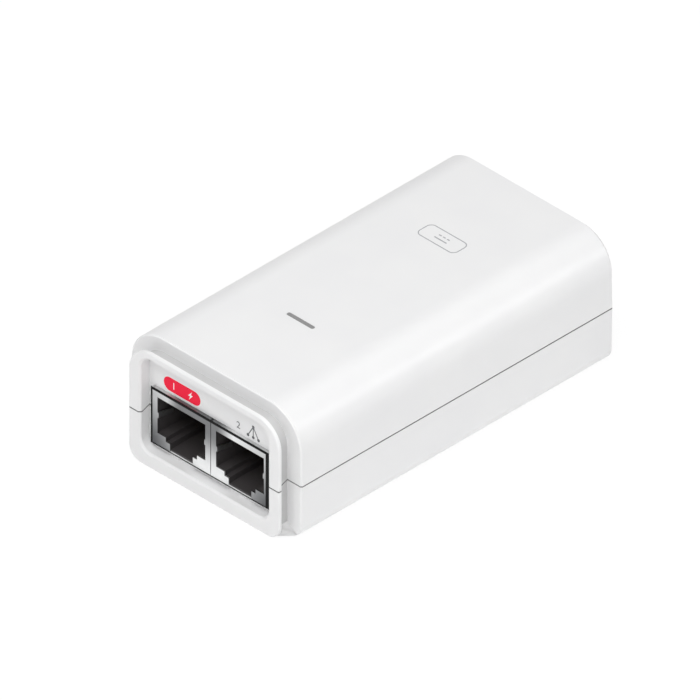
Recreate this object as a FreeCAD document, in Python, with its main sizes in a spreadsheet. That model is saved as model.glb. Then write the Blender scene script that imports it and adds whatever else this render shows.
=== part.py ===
import FreeCAD, Part
import os
import re

import Sketcher
from FreeCAD import Vector

# A two-port PoE injector: a white two-shell case with a bezel of two shielded sockets at the front,
# a light bar on top, a mains inlet at the back and the power converter on a board between them.
# Millimetres. X runs across the case, Y from the sockets (front) to the inlet (back), Z up.
# The origin is the middle of the footprint, on the surface that the case stands on.

SIZES = [
    # Case shells
    ("body_width", 47.2, "width of the case at its seam"),
    ("body_length", 90.0, "front plane of the bezel to the back wall"),
    ("body_height", 29.3, "underside to top"),
    ("wall", 2.0, "thickness of the shells"),
    ("side_lean", 0.25, "lean of each side from the seam to the top and to the bottom"),
    ("top_corner_radius", 8.7, "the two long edges on top"),
    ("bottom_corner_radius", 3.2, "the two long edges underneath"),
    ("back_edge_bevel", 0.9, "edges round the back wall"),
    ("ring_edge_bevel", 0.3, "edges round the front end of the body"),
    ("seam_height", 12.9, "height of the seam along the sides"),
    ("seam_drop", 1.0, "how much lower the seam lies at the bezel"),
    ("seam_gap", 0.16, "open line between the shells"),
    ("tongue_thickness", 0.9, "rail inside the seam"),
    ("tongue_height", 1.3, "height of that rail above the seam"),
    ("tongue_clearance", 0.1, "room round that rail"),
    # Bezel
    ("ring_set_back", 3.4, "front plane of the bezel to the front end of the body"),
    ("neck_side_inset", 3.9, "sides of the body to the neck behind the lip"),
    ("neck_top_inset", 3.0, "top of the body to the neck"),
    ("neck_bottom_inset", 0.3, "underside to the neck"),
    ("neck_radius", 5.5, "upper corners of the neck"),
    ("lip_thickness", 0.8, "front to back"),
    ("lip_side_inset", 2.9, "sides of the body to the lip"),
    ("lip_top_inset", 2.05, "top of the body to the lip"),
    ("lip_top_radius", 6.0, "upper corners of the lip"),
    ("lip_bottom_radius", 3.2, "lower corners of the lip and the neck"),
    ("lip_edge_radius", 0.35, "front edge of the lip"),
    ("cove_bevel", 0.2, "sloping corner between lip and neck"),
    ("rim_side", 3.1, "lip beside the recess"),
    ("rim_bottom", 3.4, "lip below the recess"),
    ("rim_top", 1.75, "lip above the recess"),
    ("recess_depth", 2.7, "front plane to the socket panel"),
    ("recess_radius", 2.75, "corners of the recess"),
    ("recess_edge_bevel", 0.45, "edge of the recess"),
    ("panel_wall", 2.0, "thickness of the socket panel"),
    # Sockets
    ("jack_width", 16.0, "one shielded socket"),
    ("jack_height", 13.2, "board to the top of the shield"),
    ("jack_depth", 18.0, "front to back"),
    ("jack_face", 1.95, "front plane of the bezel to the face of the shields"),
    ("jack_bottom", 4.8, "underside of the case to the underside of the shields"),
    ("jack_gap", 0.16, "between the two shields"),
    ("jack_clearance", 0.4, "panel to the shields"),
    ("shield_sheet", 0.3, "sheet metal"),
    ("shield_fold_radius", 0.4, "long edges of the folded sheet"),
    ("mouth_width", 13.2, "opening for the plug"),
    ("mouth_height", 8.5, "opening for the plug"),
    ("mouth_frame", 1.9, "shield above the opening"),
    ("ledge_width", 2.3, "ledge that carries the plug, each side"),
    ("ledge_drop", 1.0, "depth of the first step below the ledge"),
    ("latch_width", 6.3, "slot for the latch of the plug"),
    ("latch_floor", 0.4, "housing under that slot"),
    ("mouth_margin", 0.08, "housing behind the edge of the shield's opening"),
    ("housing_clearance", 0.05, "housing to the sheet metal"),
    ("finger_length", 3.5, "earthing fingers of the shield"),
    ("finger_height", 1.2, "earthing fingers of the shield"),
    ("finger_reach", 0.7, "how far a finger stands into the opening"),
    # Contacts
    ("contact_count", 8, "wires in one socket"),
    ("contact_spacing", 1.02, "wire to wire"),
    ("wire_width", 0.45, "across"),
    ("wire_thickness", 0.3, "through"),
    ("bend_radius", 0.5, "centre line of the wire's bend"),
    ("bend_front", 3.7, "face of the shield to the middle of the bend"),
    ("spring_length", 8.3, "straight part of the sprung end"),
    ("spring_slope", 20.0, "degrees below level, with no plug in"),
    ("spring_gap", 0.3, "sprung end to the fixed run"),
    ("slot_width", 0.7, "slots of the carrier"),
    ("groove_depth", 0.62, "grooves of the carrier above the opening"),
    ("carrier_width", 10.0, "contact carrier"),
    ("comb_front", 10.8, "face of the shield to the comb"),
    ("comb_depth", 1.9, "front to back"),
    ("comb_drop", 6.0, "how far the comb hangs into the opening"),
    ("carrier_front", 2.5, "face of the shield to the carrier"),
    ("tail_room", 0.9, "behind the housing, for the wires' way down"),
    # Board and its posts
    ("board_thickness", 1.6, "circuit board"),
    ("board_margin", 0.6, "board to the walls at its sides"),
    ("board_front_gap", 0.6, "board to the socket panel"),
    ("board_back_gap", 0.8, "board to the back wall"),
    ("post_width", 4.0, "posts under and over the board, square"),
    ("post_inset", 4.0, "edge of the board to the middle of the posts"),
    ("post_gap", 1.05, "sockets to the front posts"),
    ("peg_radius", 1.0, "locating pegs on two of the lower posts"),
    ("peg_clearance", 0.15, "board holes round the pegs"),
    ("board_clearance", 0.1, "board to the upper posts"),
    # Light
    ("slot_length", 7.35, "slot on top, across"),
    ("slot_breadth", 1.0, "slot on top, front to back"),
    ("light_from_front", 26.8, "front plane to the middle of the slot"),
    ("pipe_clearance", 0.06, "light pipe in its slot"),
    ("pipe_flange", 1.0, "thickness of the flange under the top"),
    ("pipe_flange_margin", 1.2, "flange round the slot"),
    ("pipe_stem_width", 4.0, "stem down to the lamp"),
    ("pipe_stem_depth", 1.8, "stem down to the lamp"),
    ("led_width", 3.2, "lamp on the board"),
    ("led_depth", 2.6, "lamp on the board"),
    ("led_height", 1.5, "lamp on the board"),
    ("led_gap", 0.3, "lamp to the light pipe"),
    # Mains inlet
    ("inlet_width", 20.0, "moulded body"),
    ("inlet_height", 16.4, "moulded body, which stands on the board"),
    ("inlet_depth", 14.0, "front to back"),
    ("inlet_set_in", 0.3, "back wall's outside to the inlet's face"),
    ("inlet_corner_radius", 1.5, "corners of the inlet and of its hole"),
    ("inlet_clearance", 0.1, "hole round the inlet"),
    ("inlet_hollow_depth", 11.5, "room for the plug"),
    ("inlet_lobe_radius", 3.7, "the three lobes of the hollow"),
    ("inlet_pin_spread", 4.0, "middle to the live and the neutral pin"),
    ("inlet_pin_drop", 4.8, "earth pin below the other two"),
    ("inlet_pin_height", 10.0, "board to the live and neutral pins"),
    ("inlet_pin_radius", 1.2, "pins"),
    ("inlet_pin_recess", 1.3, "tips of the pins inside the mouth"),
    ("inlet_tail_length", 1.2, "pins behind the moulded body"),
    ("inlet_tail_width", 0.9, "solder tails, square"),
]

# Parts of the converter: width (X), depth (Y) and height (Z) of each, in its own named values
COMPONENT_SIZES = [
    ("part_gap", 1.0, "clear space between rows of parts"),
    ("edge_gap", 0.8, "edge of the board to the parts along it"),
    ("output_can_radius", 4.0, "output capacitors"),
    ("output_can_height", 14.0, "output capacitors"),
    ("output_can_inset", 11.0, "edge of the board to the middle of the output capacitors"),
    ("can_edge", 0.6, "bevelled upper edges of the cans and boxes"),
    ("bulk_can_radius", 6.0, "mains capacitor"),
    ("bulk_can_height", 17.5, "mains capacitor"),
    ("core_width", 21.0, "transformer core"),
    ("core_depth", 6.0, "transformer core"),
    ("core_height", 16.0, "transformer core"),
    ("core_leg", 3.0, "outer legs and bars of the core"),
    ("core_centre_leg", 6.0, "middle leg of the core"),
    ("core_side", 4.0, "middle of the board to the transformer"),
    ("bobbin_base", 2.5, "foot of the bobbin"),
    ("bobbin_wall", 0.8, "bobbin"),
    ("bobbin_flange", 13.4, "flanges of the bobbin, square"),
    ("bobbin_clearance", 0.1, "core inside the bobbin"),
    ("winding_width", 12.6, "taped winding, square"),
    ("winding_radius", 3.0, "corners of the winding"),
    ("sink_width", 24.0, "heat sink"),
    ("sink_sheet", 1.5, "heat sink"),
    ("sink_height", 19.0, "heat sink"),
    ("sink_fold", 4.0, "folded top of the heat sink"),
    ("transistor_width", 10.0, "switching transistor"),
    ("transistor_depth", 3.2, "moulded block"),
    ("transistor_height", 9.0, "moulded block"),
    ("transistor_lift", 3.5, "board to the moulded block"),
    ("transistor_tab", 6.0, "height of the metal tab"),
    ("transistor_tab_sheet", 1.3, "metal tab"),
    ("lead_width", 0.8, "leads of the larger parts"),
    ("screw_radius", 1.5, "transistor screw"),
    ("screw_head_radius", 2.8, "transistor screw"),
    ("screw_head_height", 2.0, "transistor screw"),
    ("screw_clearance", 0.2, "holes round the screw"),
    ("choke_ring_radius", 3.9, "middle of the choke's ring"),
    ("choke_ring_section", 3.0, "ring of the choke, square in section"),
    ("choke_winding_section", 5.0, "winding round the ring"),
    ("choke_clearance", 0.1, "ring inside its windings"),
    ("xcap_width", 5.0, "interference capacitor"),
    ("xcap_depth", 12.0, "interference capacitor"),
    ("xcap_height", 11.0, "interference capacitor"),
    ("rectifier_width", 3.5, "bridge rectifier"),
    ("rectifier_depth", 11.0, "bridge rectifier"),
    ("rectifier_height", 10.5, "bridge rectifier"),
    ("fuse_radius", 4.2, "fuse"),
    ("fuse_height", 8.0, "fuse"),
    ("disc_radius", 4.5, "varistor"),
    ("disc_thickness", 3.4, "varistor"),
    ("ycap_radius", 3.6, "safety capacitor"),
    ("ycap_thickness", 3.0, "safety capacitor"),
    ("disc_lift", 1.2, "board to the coated discs"),
    ("opto_width", 4.6, "optocoupler"),
    ("opto_depth", 6.5, "optocoupler"),
    ("opto_height", 3.5, "optocoupler"),
    ("diode_width", 6.0, "output diode"),
    ("diode_depth", 6.8, "output diode"),
    ("diode_height", 2.4, "output diode"),
]

# Places worked out from the sizes, along the case (Y from the front plane) and up it
PANEL_BACK = "(recess_depth + panel_wall)"
CAVITY_LENGTH = f"(body_length - wall - {PANEL_BACK})"
BOARD_TOP = "jack_bottom"
BOARD_UNDER = "(jack_bottom - board_thickness)"
BOARD_FRONT = f"({PANEL_BACK} + board_front_gap)"
BOARD_BACK = "(body_length - wall - board_back_gap)"
JACK_BACK = "(jack_face + jack_depth)"
JACK_SIDE = "((jack_width + jack_gap) / 2)"
BOARD_EDGE = "(body_width / 2 - wall - board_margin)"
FRONT_POSTS = f"({JACK_BACK} + post_gap + post_width / 2)"
CORE_ROW = "(light_from_front + output_can_radius + part_gap + bobbin_flange / 2)"
SINK_ROW = f"({CORE_ROW} + bobbin_flange / 2 + part_gap)"
SINK_BACK = f"({SINK_ROW} + sink_sheet)"
BULK_ROW = f"({SINK_BACK} + transistor_tab_sheet + transistor_depth + part_gap + bulk_can_radius)"
REAR_POSTS = f"({SINK_BACK} + transistor_depth / 2)"
BEHIND_CANS = "(light_from_front + output_can_radius + part_gap)"
INLET_FACE = "(body_length - inlet_set_in)"
INLET_BACK = f"({INLET_FACE} - inlet_depth)"
SIDE_PARTS = "(inlet_width / 2 + part_gap / 2)"
CHOKE_REACH = "(choke_ring_radius + choke_winding_section / 2)"
CHOKE_WINDING_TURN = 110.0  # degrees of the ring that each winding covers

document = FreeCAD.newDocument("poe_injector")
sheet = document.addObject("Spreadsheet::Sheet", "sizes")
for row, (alias, number, meaning) in enumerate(SIZES + COMPONENT_SIZES, start=1):
    sheet.set(f"A{row}", meaning)
    sheet.set(f"B{row}", str(number))
    sheet.setAlias(f"B{row}", alias)
document.recompute()

ALIASES = {alias for alias, number, meaning in SIZES + COMPONENT_SIZES}
NORMALS = {"XY": "+z", "XZ": "-y", "YZ": "+x"}


def bind(text):
    """Turn a text of size names into an expression that reads them from the sheet."""
    return re.sub(r"[a-z_]+", lambda word: f"sizes.{word[0]}" if word[0] in ALIASES else word[0], text)


def value(text):
    """Work out such a text as a number."""
    return float(document.sizes.evalExpression(bind(text)))


class Piece:
    """One sub-part: a body with its own origin at x, y and z, y counted from the front plane."""

    def __init__(self, label, x="0", y="0", z="0"):
        self.body = document.addObject("PartDesign::Body", label)
        self.body.Label = label
        self.body.setExpression("Placement.Base.x", bind(x))
        self.body.setExpression("Placement.Base.y", bind(f"{y} - body_length / 2"))
        self.body.setExpression("Placement.Base.z", bind(z))
        self.count = 0

    def name(self, word):
        """A name for the next feature."""
        self.count += 1
        return f"{self.body.Label}_{word}_{self.count}"

    def sketch(self, plane, x="0", y="0", z="0"):
        """A sketch parallel to one of the body's planes, with its own origin at x, y and z."""
        sketch = self.body.newObject("Sketcher::SketchObject", self.name("sketch"))
        support = [item for item in self.body.Origin.OriginFeatures if item.Role == f"{plane}_Plane"]
        sketch.AttachmentSupport = [(support[0], "")]
        sketch.MapMode = "FlatFace"
        offset = {"XY": (x, y, z), "XZ": (x, z, f"-({y})"), "YZ": (y, z, x)}[plane]
        for axis, text in zip("xyz", offset):
            if text not in ("0", "-(0)"):
                sketch.setExpression(f"AttachmentOffset.Base.{axis}", bind(text))
        return sketch

    def extrude(self, kind, sketch, length, towards):
        """A Pad or a Pocket of the sketch, towards +x, -y and so on, or to both sides."""
        feature = self.body.newObject(f"PartDesign::{kind}", self.name(kind.lower()))
        feature.Profile = sketch
        feature.setExpression("Length", bind(length))
        plane = sketch.AttachmentSupport[0][0].Role[:2]
        if towards == "both":
            feature.SideType = "Symmetric"
        else:
            feature.Reversed = (towards == NORMALS[plane]) == (kind == "Pocket")
        return feature

    def pad(self, sketch, length, towards):
        return self.extrude("Pad", sketch, length, towards)

    def pocket(self, sketch, length, towards):
        return self.extrude("Pocket", sketch, length, towards)

    def revolve(self, sketch, axis=None, angle=360.0):
        """Turn a profile about its own vertical axis, or about one of the body's axes."""
        feature = self.body.newObject("PartDesign::Revolution", self.name("revolution"))
        feature.Profile = sketch
        lines = [item for item in self.body.Origin.OriginFeatures if item.Role == axis]
        feature.ReferenceAxis = (lines[0], [""]) if lines else (sketch, ["V_Axis"])
        feature.Angle = angle
        feature.Midplane = angle < 360.0
        return feature

    def repeat(self, feature, sketch, axis, spacing, count):
        """Copies of a feature in a row along an axis of its sketch."""
        row = self.body.newObject("PartDesign::LinearPattern", self.name("row"))
        row.Originals = [feature]
        row.Direction = (sketch, [axis])
        row.Mode = "Spacing"
        row.setExpression("Offset", bind(spacing))
        row.setExpression("Occurrences", bind(count))
        self.body.Tip = row
        return row

    def dress(self, kind, measure, size, chosen):
        """Round or bevel the edges that the test chooses."""
        document.recompute()
        base = self.body.Tip
        edges = [f"Edge{i}" for i, edge in enumerate(base.Shape.Edges, start=1) if chosen(edge)]
        if not edges:
            raise ValueError(f"{self.body.Label}: no edge for {size}")
        feature = self.body.newObject(f"PartDesign::{kind}", self.name(kind.lower()))
        feature.Base = (base, edges)
        feature.setExpression(measure, bind(size))
        return feature

    def fillet(self, radius, chosen):
        return self.dress("Fillet", "Radius", radius, chosen)

    def chamfer(self, size, chosen):
        return self.dress("Chamfer", "Size", size, chosen)


def near(a, b):
    return abs(a - b) < 1e-4


def runs_along(edge, axis):
    """A straight edge parallel to X (0), Y (1) or Z (2)."""
    if not isinstance(edge.Curve, Part.Line):
        return False
    return abs(abs(edge.Curve.Direction[axis]) - 1.0) < 1e-6


def lies_at(edge, axis, level):
    """An edge that stays at one level of an axis."""
    low = (edge.BoundBox.XMin, edge.BoundBox.YMin, edge.BoundBox.ZMin)[axis]
    high = (edge.BoundBox.XMax, edge.BoundBox.YMax, edge.BoundBox.ZMax)[axis]
    return near(low, level) and near(high, level)


def within(edge, side, low, high):
    """An edge between -side and side, and between two heights."""
    box = edge.BoundBox
    return box.XMin > -side and box.XMax < side and box.ZMin > low and box.ZMax < high


def fix(sketch, name, kind, *where, text):
    """Add a named constraint whose value follows the sheet."""
    index = sketch.addConstraint(Sketcher.Constraint(kind, *where, value(text)))
    sketch.renameConstraint(index, name)
    sketch.setExpression(f"Constraints.{name}", bind(text))


def outline(sketch, points):
    """A closed outline of straight lines through the points, each a pair of size texts."""
    numbers = [Vector(value(across), value(up), 0) for across, up in points]
    count = len(points)
    first = sketch.GeometryCount
    for i in range(count):
        sketch.addGeometry(Part.LineSegment(numbers[i], numbers[(i + 1) % count]))
    for i in range(count):
        sketch.addConstraint(Sketcher.Constraint("Coincident", first + i, 2, first + (i + 1) % count, 1))
    for i, (across, up) in enumerate(points, start=first):
        fix(sketch, f"across{i}", "DistanceX", -1, 1, i, 1, text=across)
        fix(sketch, f"up{i}", "DistanceY", -1, 1, i, 1, text=up)
    return sketch


def rectangle(sketch, width, height):
    """A rectangle with its middle at the sketch's origin."""
    half, rise = f"({width}) / 2", f"({height}) / 2"
    corners = [(f"-{half}", f"-{rise}"), (half, f"-{rise}"), (half, rise), (f"-{half}", rise)]
    return outline(sketch, corners)


def squares(sketch, width, centres):
    """Squares of one width about the given centres."""
    half = f"({width}) / 2"
    for across, up in centres:
        outline(sketch, [
            (f"{across} - {half}", f"{up} - {half}"), (f"{across} + {half}", f"{up} - {half}"),
            (f"{across} + {half}", f"{up} + {half}"), (f"{across} - {half}", f"{up} + {half}"),
        ])
    return sketch


def circles(sketch, radius, centres=(("0", "0"),)):
    """Circles of one radius about the given centres."""
    for i, (across, up) in enumerate(centres):
        centre = Vector(value(across), value(up), 0)
        sketch.addGeometry(Part.Circle(centre, Vector(0, 0, 1), value(radius)))
        fix(sketch, f"across{i}", "DistanceX", -1, 1, i, 3, text=across)
        fix(sketch, f"up{i}", "DistanceY", -1, 1, i, 3, text=up)
        fix(sketch, f"radius{i}", "Radius", i, text=radius)
    return sketch


def rounded(sketch, width, height, low_radius, high_radius=None):
    """A rectangle with round corners, its middle at the sketch's origin."""
    high_radius = high_radius or low_radius
    half, rise = value(width) / 2, value(height) / 2
    low, high = value(low_radius), value(high_radius)
    lines = [
        (Vector(-half + low, -rise), Vector(half - low, -rise)),
        (Vector(half, -rise + low), Vector(half, rise - high)),
        (Vector(half - high, rise), Vector(-half + high, rise)),
        (Vector(-half, rise - high), Vector(-half, -rise + low)),
    ]
    centres = [
        (Vector(half - low, -rise + low), low, Vector(1, -1)),
        (Vector(half - high, rise - high), high, Vector(1, 1)),
        (Vector(-half + high, rise - high), high, Vector(-1, 1)),
        (Vector(-half + low, -rise + low), low, Vector(-1, -1)),
    ]
    for start, end in lines:
        sketch.addGeometry(Part.LineSegment(start, end))
    for i, (centre, radius, outwards) in enumerate(centres):
        middle = centre + outwards.normalize() * radius
        sketch.addGeometry(Part.Arc(lines[i][1], middle, lines[(i + 1) % 4][0]))
    for i in range(4):
        sketch.addConstraint(Sketcher.Constraint("Tangent", i, 2, 4 + i, 1))
        sketch.addConstraint(Sketcher.Constraint("Tangent", 4 + i, 2, (i + 1) % 4, 1))
    for i in (0, 2):
        sketch.addConstraint(Sketcher.Constraint("Horizontal", i))
        sketch.addConstraint(Sketcher.Constraint("Vertical", i + 1))
    sketch.addConstraint(Sketcher.Constraint("Equal", 4, 7))
    sketch.addConstraint(Sketcher.Constraint("Equal", 5, 6))
    fix(sketch, "low_radius", "Radius", 4, text=low_radius)
    fix(sketch, "high_radius", "Radius", 5, text=high_radius)
    fix(sketch, "right", "DistanceX", -1, 1, 1, 1, text=f"({width}) / 2")
    fix(sketch, "left", "DistanceX", -1, 1, 3, 1, text=f"-({width}) / 2")
    fix(sketch, "top", "DistanceY", -1, 1, 2, 1, text=f"({height}) / 2")
    fix(sketch, "bottom", "DistanceY", -1, 1, 0, 1, text=f"-({height}) / 2")
    return sketch


# The case ------------------------------------------------------------------------------------------


def shell_blank(piece):
    """The whole case as one hollow moulding: body, neck, lip, recess, panel and both openings."""
    half = "body_width / 2"
    lean = f"({half} - side_lean)"
    section = outline(piece.sketch("XZ", y="ring_set_back"), [
        (f"-{lean}", "0"), (lean, "0"), (half, "seam_height"),
        (lean, "body_height"), (f"-{lean}", "body_height"), (f"-{half}", "seam_height"),
    ])
    piece.pad(section, "body_length - ring_set_back", "+y")
    piece.fillet("top_corner_radius",
                 lambda edge: runs_along(edge, 1) and lies_at(edge, 2, value("body_height")))
    piece.fillet("bottom_corner_radius", lambda edge: runs_along(edge, 1) and lies_at(edge, 2, 0.0))
    piece.chamfer("back_edge_bevel", lambda edge: lies_at(edge, 1, value("body_length")))
    piece.chamfer("ring_edge_bevel", lambda edge: lies_at(edge, 1, value("ring_set_back")))

    neck_height = "(body_height - neck_top_inset - neck_bottom_inset)"
    neck = piece.sketch("XZ", y="lip_thickness / 2", z=f"neck_bottom_inset + {neck_height} / 2")
    rounded(neck, "body_width - 2 * neck_side_inset", neck_height, "lip_bottom_radius", "neck_radius")
    piece.pad(neck, f"{PANEL_BACK} - lip_thickness / 2", "+y")
    lip_height = "(body_height - lip_top_inset)"
    lip = piece.sketch("XZ", z=f"{lip_height} / 2")
    rounded(lip, "body_width - 2 * lip_side_inset", lip_height, "lip_bottom_radius", "lip_top_radius")
    piece.pad(lip, "lip_thickness", "+y")
    piece.fillet("lip_edge_radius", lambda edge: lies_at(edge, 1, 0.0))
    neck_side = value("body_width / 2 - neck_side_inset") + 0.01
    neck_low, neck_high = value("neck_bottom_inset") - 0.01, value("body_height - neck_top_inset") + 0.01
    piece.chamfer("cove_bevel", lambda edge: lies_at(edge, 1, value("lip_thickness"))
                  and within(edge, neck_side, neck_low, neck_high))

    recess_height = f"({lip_height} - rim_bottom - rim_top)"
    recess = piece.sketch("XZ", z=f"rim_bottom + {recess_height} / 2")
    rounded(recess, "body_width - 2 * lip_side_inset - 2 * rim_side", recess_height, "recess_radius")
    piece.pocket(recess, "recess_depth", "+y")
    rim_reach = value("body_width / 2 - lip_side_inset - rim_side") + 0.01
    rim_low, rim_high = value("rim_bottom") - 0.01, value(f"{lip_height} - rim_top") + 0.01
    piece.chamfer("recess_edge_bevel", lambda edge: lies_at(edge, 1, 0.0)
                  and within(edge, rim_reach, rim_low, rim_high))

    jacks = piece.sketch("XZ", y="recess_depth", z="jack_bottom + jack_height / 2")
    rectangle(jacks, "2 * jack_width + jack_gap + 2 * jack_clearance", "jack_height + 2 * jack_clearance")
    piece.pocket(jacks, "panel_wall", "+y")

    cavity_height = "(body_height - 2 * wall)"
    cavity = piece.sketch("XZ", y=PANEL_BACK, z="body_height / 2")
    rounded(cavity, "body_width - 2 * wall", cavity_height,
            "bottom_corner_radius - wall", "top_corner_radius - wall")
    piece.pocket(cavity, CAVITY_LENGTH, "+y")

    inlet = piece.sketch("XZ", y="body_length - wall", z="jack_bottom + inlet_height / 2")
    rounded(inlet, "inlet_width + 2 * inlet_clearance", "inlet_height + 2 * inlet_clearance",
            "inlet_corner_radius")
    piece.pocket(inlet, "wall", "+y")


def split(piece, beyond, shift):
    """Cut away what lies beyond the seam, which steps down along the neck to the bezel."""
    low, high = f"(seam_height - seam_drop + {shift})", f"(seam_height + {shift})"
    profile = outline(piece.sketch("YZ"), [
        ("-wall", beyond), ("-wall", low), ("lip_thickness", low), ("ring_set_back", high),
        ("body_length + wall", high), ("body_length + wall", beyond),
    ])
    piece.pocket(profile, "body_width + 2 * wall", "both")


def post_places():
    """The four places where the board is held."""
    side = f"({BOARD_EDGE} - post_inset)"
    return [(f"{hand}{side}", row) for hand in ("-", "") for row in (FRONT_POSTS, REAR_POSTS)]


def peg_places():
    """The two posts, front left and rear right, that also locate the board."""
    places = post_places()
    return [places[0], places[-1]]


def top_cover():
    piece = Piece("top_cover")
    shell_blank(piece)
    split(piece, "-wall", "seam_gap / 2")
    for side in ("-", ""):
        groove = piece.sketch("XY", x=f"{side}(body_width / 2 - wall)",
                              y=f"{PANEL_BACK} + {CAVITY_LENGTH} / 2", z="seam_height + seam_gap / 2")
        rectangle(groove, "2 * tongue_thickness", CAVITY_LENGTH)
        piece.pocket(groove, "tongue_height + tongue_clearance", "+z")
    light = piece.sketch("XY", y="light_from_front", z="body_height")
    rounded(light, "slot_length", "slot_breadth", "0.4 * slot_breadth")
    piece.pocket(light, "2 * wall", "-z")
    posts = squares(piece.sketch("XY", z="body_height - wall"), "post_width", post_places())
    piece.pad(posts, f"body_height - wall - {BOARD_TOP} - board_clearance", "-z")
    return piece


def bottom_case():
    piece = Piece("bottom_case")
    shell_blank(piece)
    split(piece, "body_height + wall", "-seam_gap / 2")
    for side in ("-", ""):
        rail_middle = "(body_width / 2 - wall + (tongue_thickness - tongue_clearance) / 2)"
        rail = piece.sketch("XY", x=f"{side}{rail_middle}", y=f"{PANEL_BACK} + {CAVITY_LENGTH} / 2",
                            z="seam_height - seam_gap / 2")
        rectangle(rail, "tongue_thickness - tongue_clearance", f"{CAVITY_LENGTH} - 2 * wall")
        piece.pad(rail, "seam_gap + tongue_height", "+z")
    posts = squares(piece.sketch("XY", z="wall"), "post_width", post_places())
    piece.pad(posts, f"{BOARD_UNDER} - wall", "+z")
    pegs = circles(piece.sketch("XY", z=BOARD_UNDER), "peg_radius", peg_places())
    piece.pad(pegs, "board_thickness - board_clearance", "+z")
    return piece


# The two sockets -----------------------------------------------------------------------------------

MOUTH_TOP = "(jack_height - mouth_frame)"
LEDGE = "(jack_height - mouth_frame - mouth_height)"
HOUSING_TOP = "(jack_height - shield_sheet - housing_clearance)"
HOUSING_FRONT = "(shield_sheet + housing_clearance)"
HOUSING_BACK = "(jack_depth - shield_sheet - tail_room)"
COMB_BACK = "(comb_front + comb_depth)"
RUN_TOP = f"({MOUTH_TOP} + mouth_margin + 0.75 * groove_depth)"
BEND_HEIGHT = f"({RUN_TOP} - wire_thickness / 2 - bend_radius)"


def mouth(sketch, margin, foot):
    """The stepped opening for a plug whose latch is underneath, down to the given foot."""
    side, top, ledge = f"(mouth_width / 2 + {margin})", f"({MOUTH_TOP} + {margin})", f"({LEDGE} - {margin})"
    step, step_side = f"({ledge} - ledge_drop)", f"({side} - ledge_width)"
    latch = f"(latch_width / 2 + {margin})"
    right = [(side, top), (side, ledge), (step_side, ledge), (step_side, step), (latch, step),
             (latch, foot)]
    left = [(f"-{across}", up) for across, up in reversed(right)]
    return outline(sketch, right + left)


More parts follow.
